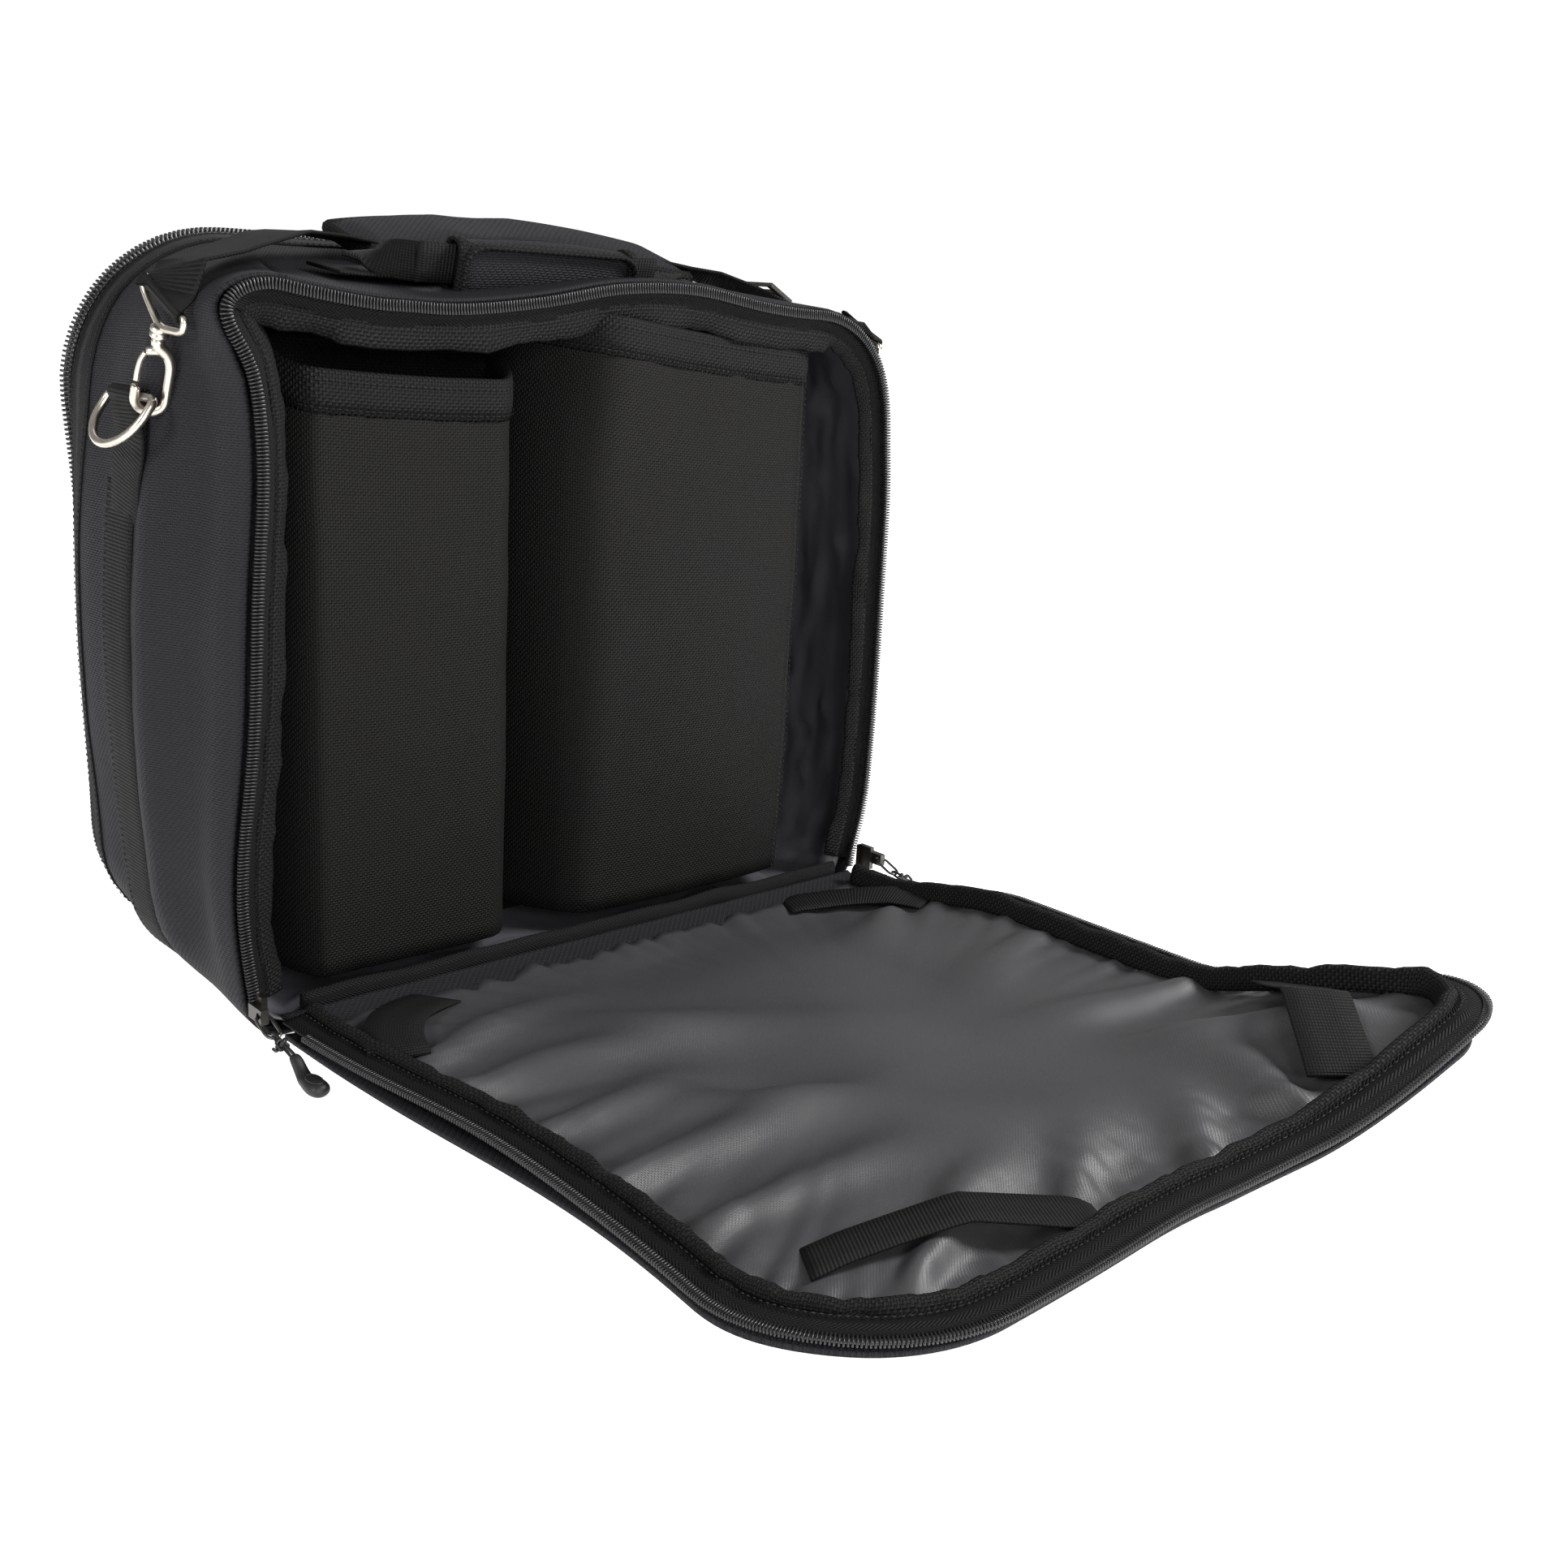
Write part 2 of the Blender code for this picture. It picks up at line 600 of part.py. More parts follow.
def make_hook(side, label):
    """A swivel hook: bail in the strap's end, J-shaped hook and sprung gate."""
    eye = Vector((side * HOOK_EYE.x, HOOK_EYE.y, HOOK_EYE.z))
    up = Vector((0, -math.sin(HOOK_TILT), math.cos(HOOK_TILT)))
    flat = Vector((side, 0, 0))
    wide = Matrix.Rotation(side * HOOK_TURN, 3, up) @ flat
    reach = HOOK_INNER + HOOK_WIRE

    def place(u, v):
        return eye + wide * u + up * v

    top = HOOK_LENGTH
    curve = [place(0, top + 0.0040), place(0, top + 0.0015), place(-0.0030, top - 0.0015),
             place(-reach, top - 0.0065)]
    curve += [place(u, v) for u, v in arc((0, 0), reach, 180, 360, 10)]
    curve.append(place(reach, 0.0045))
    hook = tube("hook_body_" + label, curve, HOOK_WIRE, "nickel")
    gate = tube("hook_gate_" + label, [place(reach, 0.0082), place(reach, 0.0130),
                place(reach - 0.0006, 0.0180), place(reach - 0.0020, 0.0212)], 0.0012, "nickel")
    gate_axis = place(reach - 0.0020, 0.0212)
    collar_start = place(0, top + 0.0046)
    collar_end = place(0, SWIVEL_RISE + 0.0010)
    apex = collar_end
    bar_middle = apex + up * 0.0135
    across = Vector((0, math.cos(HOOK_TILT), math.sin(HOOK_TILT)))
    legs = [apex, apex + across * 0.0090 + up * 0.0025,
            apex + across * 0.0215 + up * 0.0070, apex + across * 0.0215 + up * 0.0135,
            apex - across * 0.0215 + up * 0.0135, apex - across * 0.0215 + up * 0.0070,
            apex - across * 0.0090 + up * 0.0025]
    bail = as_mesh(tube("hook_bail_" + label, legs, 0.0017, "nickel", closed=True))
    stem = bmesh.new()
    bmesh.ops.create_cone(stem, cap_ends=True, segments=12, radius1=0.0036, radius2=0.0030,
                          depth=(collar_end - collar_start).length)
    turn = Vector((0, 0, 1)).rotation_difference(up).to_matrix().to_4x4()
    bmesh.ops.transform(stem, verts=stem.verts,
                        matrix=Matrix.Translation((collar_start + collar_end) / 2) @ turn)
    merge(bail, add_mesh("hook_collar_" + label, stem, "nickel"), "UNION")
    sprung = pivot("hook_gate_pivot_" + label, gate_axis, [gate])
    pivot("hook_swivel_" + label, collar_start, [hook, sprung])
    return bar_middle, across, up


# Shoulder strap and handle -----------------------------------------------------------------
def make_shoulder_strap(side, label, bar, across, up):
    """Webbing from a hook's bail over the top corner to the end of the shoulder pad."""
    half = Vector((0, STRAP_WIDTH / 2, 0))
    bar_half = across * (STRAP_WIDTH / 2)
    wrap = 0.0017 + 0.0004 + WEBBING / 2
    out = Vector((side, 0, 0))
    path = []
    for angle in (-80, -40, 0, 40, 80):
        turn = math.radians(angle)
        path.append((bar + (out * math.cos(turn) + up * math.sin(turn)) * wrap, bar_half))
    path += [(Vector((side * x, y, z)), half) for x, y, z in STRAP_RUN[side]]
    return ribbon("shoulder_strap_" + label, path, "webbing")


def make_shoulder_pad():
    """The arched pad between the two strap ends."""
    shape = bmesh.new()
    bmesh.ops.create_cube(shape, size=1.0)
    bmesh.ops.scale(shape, vec=(2 * PAD_HALF_LENGTH, PAD_WIDTH, PAD_THICKNESS), verts=shape.verts)
    bmesh.ops.subdivide_edges(shape, edges=[edge for edge in shape.edges
                              if abs(edge.verts[0].co.x - edge.verts[1].co.x) > 0.1], cuts=7)
    for vertex in shape.verts:
        share = vertex.co.x / PAD_HALF_LENGTH
        vertex.co.z += PAD_ARCH * (1 - share * share)
        vertex.co.y *= 1 - 0.25 * share ** 4
    lean = Matrix.Rotation(PAD_LEAN, 4, "X")
    bmesh.ops.transform(shape, verts=shape.verts, matrix=Matrix.Translation(PAD_MIDDLE) @ lean)
    add_mesh("shoulder_pad", shape, "twill")


def make_adjuster():
    """The tri-glide that sets the length, flat on the right part of the strap."""
    low = Vector(STRAP_RUN[1][3])
    high = Vector(STRAP_RUN[1][4])
    run = (high - low).normalized()
    across = Vector((0, 1, 0))
    normal = run.cross(across).normalized()
    if normal.z < 0:
        normal.negate()
    middle = low.lerp(high, 0.48) + normal * 0.0034
    frame = Matrix.Translation(middle) @ Matrix((
        (normal.z, 0, normal.x, 0), (0, 1, 0, 0),
        (-normal.x, 0, normal.z, 0), (0, 0, 0, 1)))
    outline = [(-0.0095, -0.0235), (0.0095, -0.0235), (0.0095, 0.0235), (-0.0095, 0.0235)]
    slots = [[(-0.0085, -0.0195), (-0.0020, -0.0195), (-0.0020, 0.0195), (-0.0085, 0.0195)],
             [(0.0020, -0.0195), (0.0085, -0.0195), (0.0085, 0.0195), (0.0020, 0.0195)]]
    glide = plate("strap_adjuster", outline, 0.0022, (0, 0, 0), "dark_metal", Matrix(), slots)
    glide.matrix_world = frame


def make_handle():
    """Carrying handle: sewn base webbing, folded webbing loop and padded wrap."""
    y = HANDLE_PIVOT.y - 0.004
    centre = HANDLE_PIVOT.x
    half = Vector((0, 0.016, 0))
    slope = (HEIGHT_REAR - HEIGHT_FRONT) / (REAR_Y - FRONT_Y)
    half_top = Vector((0, 0.016, 0.016 * slope))
    lift = 0.0004 + 0.0007
    base = [(Vector((centre + x, y, top_height(y) + lift)), half_top) for x in (-0.112, 0.112)]
    ribbon("handle_base_webbing", base, "webbing", 0.0012)
    pull = HANDLE_PIVOT + Vector((0, -0.0250, 0.0095))
    lean = Vector((0, -0.0022, 0.0085))
    path = []
    for x, share in ((-0.094, 0.0), (-0.080, 0.35), (-0.070, 0.8), (-0.060, 1.0)):
        middle = HANDLE_PIVOT.lerp(pull, share) + Vector((x, 0, 0.0046 * (1 - share)))
        width = (half * 0.10).lerp(lean, share)
        path.append((middle, width))
    mirrored = []
    for middle, width in reversed(path):
        mirrored.append((Vector((2 * centre - middle.x, middle.y, middle.z)), width))
    webbing = ribbon("handle_webbing", path + mirrored, "webbing", WEBBING)
    outer = [(-0.0065, -0.0130), (-0.0020, -0.0130), (-0.0020, 0.0100), (0.0020, 0.0100),
             (0.0020, -0.0130), (0.0065, -0.0130), (0.0072, 0.0080), (0.0050, 0.0130),
             (-0.0050, 0.0130), (-0.0072, 0.0080)]
    tilt = Matrix.Rotation(math.atan2(0.0022, 0.0085), 4, "X")
    wrap = plate("handle_wrap", outer, 0.110, pull, "twill", tilt @ YZ_PLANE)
    pivot("handle_pivot", HANDLE_PIVOT, [webbing, wrap])


# Build ---------------------------------------------------------------------------------------
clear_scene()
PARTS = new_collection("flight_bag")
CUTTERS = new_collection("cutters")

make_body_panels()
make_rear_gusset()
make_linings()
make_pouches()
make_rim()
make_flap()
make_rear_door()
for SIDE, LABEL in ((-1, "left"), (1, "right")):
    make_front_pull(SIDE, LABEL)
    make_side_strap(SIDE, LABEL)
    make_ring(SIDE, LABEL)
    BAR, ACROSS, UP = make_hook(SIDE, LABEL)
    make_shoulder_strap(SIDE, LABEL, BAR, ACROSS, UP)
make_rear_pull()
make_shoulder_pad()
make_adjuster()
make_handle()
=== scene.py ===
"""Looks of the open flight bag: cloth, webbing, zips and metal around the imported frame."""
import math

import bmesh
import bpy
from mathutils import Matrix, Vector, noise


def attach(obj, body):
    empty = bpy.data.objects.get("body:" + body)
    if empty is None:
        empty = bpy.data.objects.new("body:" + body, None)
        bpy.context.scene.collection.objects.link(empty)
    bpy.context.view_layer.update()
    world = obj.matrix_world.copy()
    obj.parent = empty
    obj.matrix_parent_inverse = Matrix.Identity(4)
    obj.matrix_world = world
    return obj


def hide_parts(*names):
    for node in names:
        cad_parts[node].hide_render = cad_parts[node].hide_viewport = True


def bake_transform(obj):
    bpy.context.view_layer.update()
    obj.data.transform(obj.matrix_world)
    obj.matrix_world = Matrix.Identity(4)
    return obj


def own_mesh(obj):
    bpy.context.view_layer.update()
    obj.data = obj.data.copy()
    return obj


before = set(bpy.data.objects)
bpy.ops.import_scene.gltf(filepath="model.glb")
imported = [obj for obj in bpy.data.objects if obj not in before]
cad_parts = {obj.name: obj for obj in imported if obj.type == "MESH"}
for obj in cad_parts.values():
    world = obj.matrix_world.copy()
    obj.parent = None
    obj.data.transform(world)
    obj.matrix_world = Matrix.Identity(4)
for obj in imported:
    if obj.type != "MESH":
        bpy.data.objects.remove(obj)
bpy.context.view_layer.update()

# Sizes, as in the frame (metres) ----------------------------------------------------------
WIDTH = 0.400
FRONT_Y, REAR_SEAM_Y, REAR_Y = -0.093, 0.078, 0.093
HEIGHT_FRONT, HEIGHT_REAR = 0.346, 0.366
TOP_RADIUS_FRONT = {-1: 0.030, 1: 0.065}
TOP_RADIUS_REAR = {-1: 0.083, 1: 0.083}
BASE_RADIUS_FRONT, BASE_RADIUS_REAR = 0.022, 0.055
COIL_INSET = 0.002
PANEL_THICKNESS = 0.0022           # also how far the panels' outer face lies off the drawn skin
BASE_HALF_DEPTH = 0.0970
FRONT_TOOTH_REACH = 0.0026
REAR_TOOTH_REACH, REAR_TOOTH_PITCH = 0.0030, 0.0024
DOOR_FOOT = 0.0135
RIM_COIL_Y, REAR_COIL_Y, DOOR_COIL_Y = -0.0965, 0.0965, 0.1015
FLAP_FAR_Y, FLAP_NEAR_Y = -0.487, -0.1095
FLAP_COIL_Z = 0.0155
FLAP_RADIUS = {-1: 0.095, 1: 0.038}
HINGE_Y = 0.107
TAU = 2 * math.pi


# Camera -----------------------------------------------------------------------------------
def make_camera():
    """A camera low in front of the bag's left corner, as the object is usually shown."""
    yaw, pitch, roll = 0.7658, 0.2809, 0.0633
    forward = Vector((math.sin(yaw) * math.cos(pitch), math.cos(yaw) * math.cos(pitch),
                      -math.sin(pitch)))
    right = Vector((math.cos(yaw), -math.sin(yaw), 0))
    up = right.cross(forward)
    right2 = right * math.cos(roll) + up * math.sin(roll)
    up2 = up * math.cos(roll) - right * math.sin(roll)
    data = bpy.data.cameras.new("camera")
    data.sensor_width = 36.0
    data.lens = 38.75
    camera = bpy.data.objects.new("camera", data)
    turn = Matrix((right2, up2, -forward)).transposed().to_4x4()
    camera.matrix_world = Matrix.Translation((-0.532, -0.784, 0.353)) @ turn
    bpy.context.scene.collection.objects.link(camera)
    bpy.context.scene.camera = camera


# Small maths ------------------------------------------------------------------------------
def mix(first, second, share):
    return first + (second - first) * share


def clamp(value, low=0.0, high=1.0):
    return max(low, min(high, value))


def smooth(value):
    value = clamp(value)
    return value * value * (3 - 2 * value)


def bell(value, centre, width):
    return math.exp(-((value - centre) / width) ** 2)


def rough(x, y, z, scale, seed=0.0):
    """Smooth noise between about -1 and 1."""
    return noise.noise(Vector((x * scale + seed, y * scale - seed, z * scale + 2 * seed)))


def arc(centre, radius, start, end, steps):
    points = []
    for k in range(steps + 1):
        angle = math.radians(start + (end - start) * k / steps)
        points.append((centre[0] + radius * math.cos(angle), centre[1] + radius * math.sin(angle)))
    return points


def resample(points, step):
    """Evenly spaced points along a line of points."""
    lengths = [0.0]
    for before, after in zip(points, points[1:]):
        lengths.append(lengths[-1] + (after - before).length)
    count = max(2, round(lengths[-1] / step))
    result = []
    k = 0
    for i in range(count + 1):
        goal = lengths[-1] * i / count
        while k < len(points) - 2 and lengths[k + 1] < goal:
            k += 1
        span = lengths[k + 1] - lengths[k]
        result.append(points[k].lerp(points[k + 1], (goal - lengths[k]) / span if span else 0))
    return result


def spline(points, steps=8):
    """A smooth line through a few points."""
    result = []
    for k in range(len(points) - 1):
        a = points[max(k - 1, 0)]
        b, c = points[k], points[k + 1]
        d = points[min(k + 2, len(points) - 1)]
        for i in range(steps):
            t = i / steps
            result.append(0.5 * (2 * b + (c - a) * t + (2 * a - 5 * b + 4 * c - d) * t * t
                                 + (3 * b - a - 3 * c + d) * t ** 3))
    return result + [points[-1].copy()]


# Materials --------------------------------------------------------------------------------
def add_node(tree, kind, settings=None, **inputs):
    """A shader node with some inputs set or linked."""
    made = tree.nodes.new("ShaderNode" + kind)
    for key, value in (settings or {}).items():
        setattr(made, key, value)
    for key, value in inputs.items():
        socket = made.inputs[int(key[1:])] if key[0] == "i" and key[1:].isdigit() else \
            made.inputs[key.replace("_", " ")]
        if isinstance(value, bpy.types.NodeSocket):
            tree.links.new(value, socket)
        else:
            socket.default_value = value
    return made


def maths(tree, operation, first, second=0.0):
    return add_node(tree, "Math", {"operation": operation}, i0=first, i1=second).outputs[0]


def surface_place(tree):
    """Position on the cloth in metres, from the piece's own lay-flat map."""
    return add_node(tree, "UVMap", {"uv_map": "lay"}).outputs[0]


def woven_height(tree, place, across, along, kind):
    """Thread height, 0 to 1, of a weave whose threads are spaced across and along."""
    split = add_node(tree, "SeparateXYZ", i0=place)
    u = maths(tree, "DIVIDE", split.outputs[0], across)
    v = maths(tree, "DIVIDE", split.outputs[1], along)
    warp = maths(tree, "ABSOLUTE", maths(tree, "SINE", maths(tree, "MULTIPLY", u, math.pi)))
    weft = maths(tree, "ABSOLUTE", maths(tree, "SINE", maths(tree, "MULTIPLY", v, math.pi)))
    cells = maths(tree, "ADD", maths(tree, "FLOOR", u), maths(tree, "FLOOR", v))
    repeat = {"plain": 2.0, "twill": 3.0, "rib": 1.0, "herringbone": 4.0}[kind]
    if kind == "rib":
        ripple = maths(tree, "MULTIPLY", warp, 0.25)
        return maths(tree, "ADD", maths(tree, "MULTIPLY", weft, 0.75), ripple)
    if kind == "herringbone":
        zig = maths(tree, "ABSOLUTE", maths(tree, "SUBTRACT", maths(tree, "MODULO", u, 8.0), 4.0))
        slant = maths(tree, "ADD", zig, v)
        return maths(tree, "ABSOLUTE", maths(tree, "SINE", maths(tree, "MULTIPLY", slant, math.pi / 2)))
    over = maths(tree, "LESS_THAN", maths(tree, "FLOORED_MODULO", cells, repeat), repeat / 2)
    top = maths(tree, "MULTIPLY", warp, over)
    under = maths(tree, "MULTIPLY", weft, maths(tree, "SUBTRACT", 1.0, over))
    return maths(tree, "ADD", top, under)


def cloth(name, colour, roughness, across, along, kind, depth=0.00025, strength=0.6,
          sheen=0.0, thread_shade_depth=0.5, patches=0.25, specular=0.35):
    """A woven cloth: threads in the bump, painted shade between the threads in the colour, worn and dusty in
    soft patches.
    """
    material = bpy.data.materials.new(name)
    material.use_nodes = True
    tree = material.node_tree
    shader = tree.nodes["Principled BSDF"]
    place = surface_place(tree)
    height = woven_height(tree, place, across, along, kind)
    position = add_node(tree, "TexCoord").outputs["Object"]
    broad = add_node(tree, "TexNoise", Vector=position, Scale=14.0, Detail=4.0).outputs[0]
    fine = add_node(tree, "TexNoise", Vector=position, Scale=900.0, Detail=2.0).outputs[0]
    # Thread height darkens the colour between the threads: painted shade in the weave's hollows.
    shade = maths(tree, "ADD", 1.0 - thread_shade_depth, maths(tree, "MULTIPLY", height, thread_shade_depth))
    worn = maths(tree, "ADD", 1.0 - patches, maths(tree, "MULTIPLY", broad, 2 * patches))
    speck = maths(tree, "ADD", 0.75, maths(tree, "MULTIPLY", fine, 0.5))
    level = maths(tree, "MULTIPLY", maths(tree, "MULTIPLY", shade, worn), speck)
    dark = (colour[0] * 0.35, colour[1] * 0.35, colour[2] * 0.38, 1.0)
    light = (colour[0] * 1.5, colour[1] * 1.5, colour[2] * 1.5, 1.0)
    ramp = add_node(tree, "MixRGB", Fac=level, Color1=dark, Color2=light)
    tree.links.new(ramp.outputs[0], shader.inputs["Base Color"])
    matt = maths(tree, "ADD", roughness - 0.08, maths(tree, "MULTIPLY", broad, 0.16))
    tree.links.new(matt, shader.inputs["Roughness"])
    relief = maths(tree, "ADD", height, maths(tree, "MULTIPLY", fine, 0.35))
    bump = add_node(tree, "Bump", Strength=strength, Distance=depth, Height=relief)
    tree.links.new(bump.outputs[0], shader.inputs["Normal"])
    shader.inputs["Sheen Weight"].default_value = sheen
    shader.inputs["Sheen Roughness"].default_value = 0.45
    shader.inputs["Specular IOR Level"].default_value = specular
    return material


def hard(name, colour, roughness, metallic=0.0, scratch=0.10, scale=160.0, coat=0.0,
         specular=0.5):
    """Metal, plastic or rubber with faint handling marks."""
    material = bpy.data.materials.new(name)
    material.use_nodes = True
    tree = material.node_tree
    shader = tree.nodes["Principled BSDF"]
    position = add_node(tree, "TexCoord").outputs["Object"]
    marks = add_node(tree, "TexNoise", Vector=position, Scale=scale, Detail=6.0).outputs[0]
    pits = add_node(tree, "TexNoise", Vector=position, Scale=scale * 9, Detail=2.0).outputs[0]
    dark = (*[c * 0.75 for c in colour], 1.0)
    light = (*[min(1.0, c * 1.2) for c in colour], 1.0)
    ramp = add_node(tree, "MixRGB", Fac=marks, Color1=dark, Color2=light)
    tree.links.new(ramp.outputs[0], shader.inputs["Base Color"])
    matt = maths(tree, "ADD", roughness - scratch / 2, maths(tree, "MULTIPLY", marks, scratch))
    tree.links.new(matt, shader.inputs["Roughness"])
    bump = add_node(tree, "Bump", Strength=0.25, Distance=0.0001, Height=pits)
    tree.links.new(bump.outputs[0], shader.inputs["Normal"])
    shader.inputs["Metallic"].default_value = metallic
    shader.inputs["Coat Weight"].default_value = coat
    shader.inputs["Specular IOR Level"].default_value = specular
    return material


TWILL = cloth("nylon_twill", (0.0098, 0.0098, 0.0116), 0.62, 0.0012, 0.0012, "twill",
              depth=0.0004, strength=0.8, thread_shade_depth=0.75, specular=0.12)
BALLISTIC = cloth("ballistic_nylon", (0.0056, 0.0052, 0.0048), 0.66, 0.0013, 0.0013, "plain",
                  depth=0.0005, strength=0.9, thread_shade_depth=0.8, specular=0.12)
WEBBING = cloth("ribbed_webbing", (0.0050, 0.0047, 0.0045), 0.66, 0.0012, 0.0018, "rib",
                depth=0.0006, strength=1.0, thread_shade_depth=0.8, specular=0.14)
TAPE = cloth("zip_tape", (0.0034, 0.0033, 0.0033), 0.66, 0.0007, 0.0011, "herringbone",
             depth=0.0004, strength=0.9, thread_shade_depth=0.8, specular=0.12)
BINDING = cloth("mesh_binding", (0.0048, 0.0046, 0.0044), 0.66, 0.0016, 0.0016, "plain",
                depth=0.0007, strength=1.0, thread_shade_depth=0.9, specular=0.14)
SATIN = cloth("satin_lining", (0.0270, 0.0270, 0.0286), 0.46, 0.0006, 0.0006, "twill",
              depth=0.0001, strength=0.5, thread_shade_depth=0.35, patches=0.12, specular=0.45)
DARK_SATIN = cloth("body_lining", (0.0480, 0.0480, 0.0540), 0.40, 0.0006, 0.0006, "twill",
                   depth=0.0001, strength=0.4, thread_shade_depth=0.25, specular=0.5)
THREAD = cloth("stitching", (0.007, 0.007, 0.007), 0.50, 0.0004, 0.0004, "plain")
COIL = hard("zip_coil", (0.008, 0.008, 0.009), 0.30, scratch=0.12, specular=0.38)
NICKEL = hard("satin_nickel", (0.60, 0.55, 0.47), 0.30, metallic=1.0, scratch=0.16)
DARK_METAL = hard("dark_metal", (0.10, 0.095, 0.088), 0.36, metallic=1.0, scratch=0.2)
RUBBER = hard("moulded_rubber", (0.008, 0.008, 0.009), 0.50, scratch=0.15, specular=0.35)
BOARD = hard("stiffener_board", (0.62, 0.62, 0.60), 0.50, scratch=0.1, scale=60.0)


# Mesh makers ------------------------------------------------------------------------------
def add_piece(name, vertices, faces, lays, material, body, nodes=(), flat=False):
    """A mesh with its lay-flat map, riding on a body and standing for its CAD nodes."""
    mesh = bpy.data.meshes.new(name)
    mesh.from_pydata([tuple(v) for v in vertices], [], faces)
    layer = mesh.uv_layers.new(name="lay")
    for face in mesh.polygons:
        for loop, place in zip(face.loop_indices, lays[face.index]):
            layer.data[loop].uv = place
        face.use_smooth = not flat
    mesh.materials.append(material)
    piece = bpy.data.objects.new(name, mesh)
    bpy.context.scene.collection.objects.link(piece)
    if body:
        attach(piece, body)
    if nodes:
        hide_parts(*nodes)
    return piece


def grid(name, rows, material, body, nodes=(), thickness=0.0, offset=0.0, wrap=False):
    """A sheet through rows of points, made thick when asked."""
    count = len(rows[0])
    vertices = [point for row in rows for point in row]
    along = [0.0]
    for before, after in zip(rows, rows[1:]):
        middle = count // 2
        along.append(along[-1] + (after[middle] - before[middle]).length)
    across = []
    for row in rows:
        run = [0.0]
        for before, after in zip(row, row[1:] + ([row[0]] if wrap else [])):
            run.append(run[-1] + (after - before).length)
        middle = run[count // 2]
        across.append([value - middle for value in run])
    faces = []
    lays = []
    for r in range(len(rows) - 1):
        for c in range(count if wrap else count - 1):
            d = (c + 1) % count
            faces.append((r * count + c, r * count + d, (r + 1) * count + d, (r + 1) * count + c))
            lays.append([(across[r][c], along[r]), (across[r][c + 1], along[r]),
                         (across[r + 1][c + 1], along[r + 1]), (across[r + 1][c], along[r + 1])])
    piece = add_piece(name, vertices, faces, lays, material, body, nodes)
    if thickness:
        solid = piece.modifiers.new("thickness", "SOLIDIFY")
        solid.thickness = thickness
        solid.offset = offset
    return piece


def sweep(name, frames, profile, material, body, nodes=(), closed=False, flat=False):
    """A closed profile carried along frames of (centre, side, rise).

    profile is a list of (side, rise) distances, or a function of the frame's number that
    gives one.
    """
    shapes = [profile(k) if callable(profile) else profile for k in range(len(frames))]
    count = len(shapes[0])
    vertices = []
    for (centre, side, rise), shape in zip(frames, shapes):
        vertices += [centre + side * p + rise * q for p, q in shape]
    run = [0.0]
    for before, after in zip(frames, frames[1:] + frames[:1]):
        run.append(run[-1] + (after[0] - before[0]).length)
    girth = [0.0]
    for before, after in zip(shapes[0], shapes[0][1:] + shapes[0][:1]):
        girth.append(girth[-1] + math.dist(before, after))
    faces = []
    lays = []
    total = len(frames)
    for r in range(total if closed else total - 1):
        s = (r + 1) % total
        for c in range(count):
            d = (c + 1) % count
            faces.append((r * count + c, r * count + d, s * count + d, s * count + c))
            lays.append([(girth[c], run[r]), (girth[c + 1], run[r]),
                         (girth[c + 1], run[r + 1]), (girth[c], run[r + 1])])
    if not closed:
        for start, order in ((0, -1), ((total - 1) * count, 1)):
            faces.append(tuple(start + c for c in range(count))[::order])
            lays.append([(girth[c], run[0]) for c in range(count)][::order])
    piece = add_piece(name, vertices, faces, lays, material, body, nodes, flat)
    repair = bmesh.new()
    repair.from_mesh(piece.data)
    bmesh.ops.recalc_face_normals(repair, faces=repair.faces)
    repair.to_mesh(piece.data)
    repair.free()
    return piece


def line_frames(points, side=None, closed=False):
    """Frames along a line of points: side is held near the given direction."""
    frames = []
    count = len(points)
    hint = Vector(side) if side is not None else Vector((0.13, 0.27, 0.95))
    for k, point in enumerate(points):
        before = points[(k - 1) % count] if closed else points[max(k - 1, 0)]
        after = points[(k + 1) % count] if closed else points[min(k + 1, count - 1)]
        along = (after - before).normalized()
        reach = hint - along * hint.dot(along)
        if reach.length < 1e-6:
            reach = along.orthogonal()
        reach.normalize()
        frames.append((point, reach, along.cross(reach)))
        if side is None:
            hint = reach
    return frames


def circle(radius, sides=12, squeeze=1.0):
    return [(radius * math.cos(TAU * k / sides), squeeze * radius * math.sin(TAU * k / sides))
            for k in range(sides)]


def rod(name, points, radius, material, body, nodes=(), closed=False, sides=12):
    """A round wire or tube along points; radius may be a function of the share of length."""
    frames = line_frames(points, closed=closed)
    if callable(radius):
        last = max(1, len(points) - 1)
        return sweep(name, frames, lambda k: circle(radius(k / last), sides), material, body,
                     nodes, closed)
    return sweep(name, frames, circle(radius, sides), material, body, nodes, closed)


def strap_profile(width, thickness):
    """Webbing cut across: flat faces and round woven edges."""
    half, rise = width / 2, thickness / 2
    return [(-half + rise * 0.4, -rise), (-half / 3, -rise * 1.05), (half / 3, -rise * 1.05),
            (half - rise * 0.4, -rise), (half, 0), (half - rise * 0.4, rise),
            (half / 3, rise * 1.05), (-half / 3, rise * 1.05), (-half + rise * 0.4, rise),
            (-half, 0)]


def join(name, pieces):
    """Join pieces of one material into the first of them."""
    first = pieces[0]
    mesh = bmesh.new()
    for piece in pieces:
        mesh.from_mesh(piece.data)
    for piece in pieces[1:]:
        bpy.data.objects.remove(piece, do_unlink=True)
    mesh.to_mesh(first.data)
    mesh.free()
    first.name = name
    for face in first.data.polygons:
        face.use_smooth = True
    return first


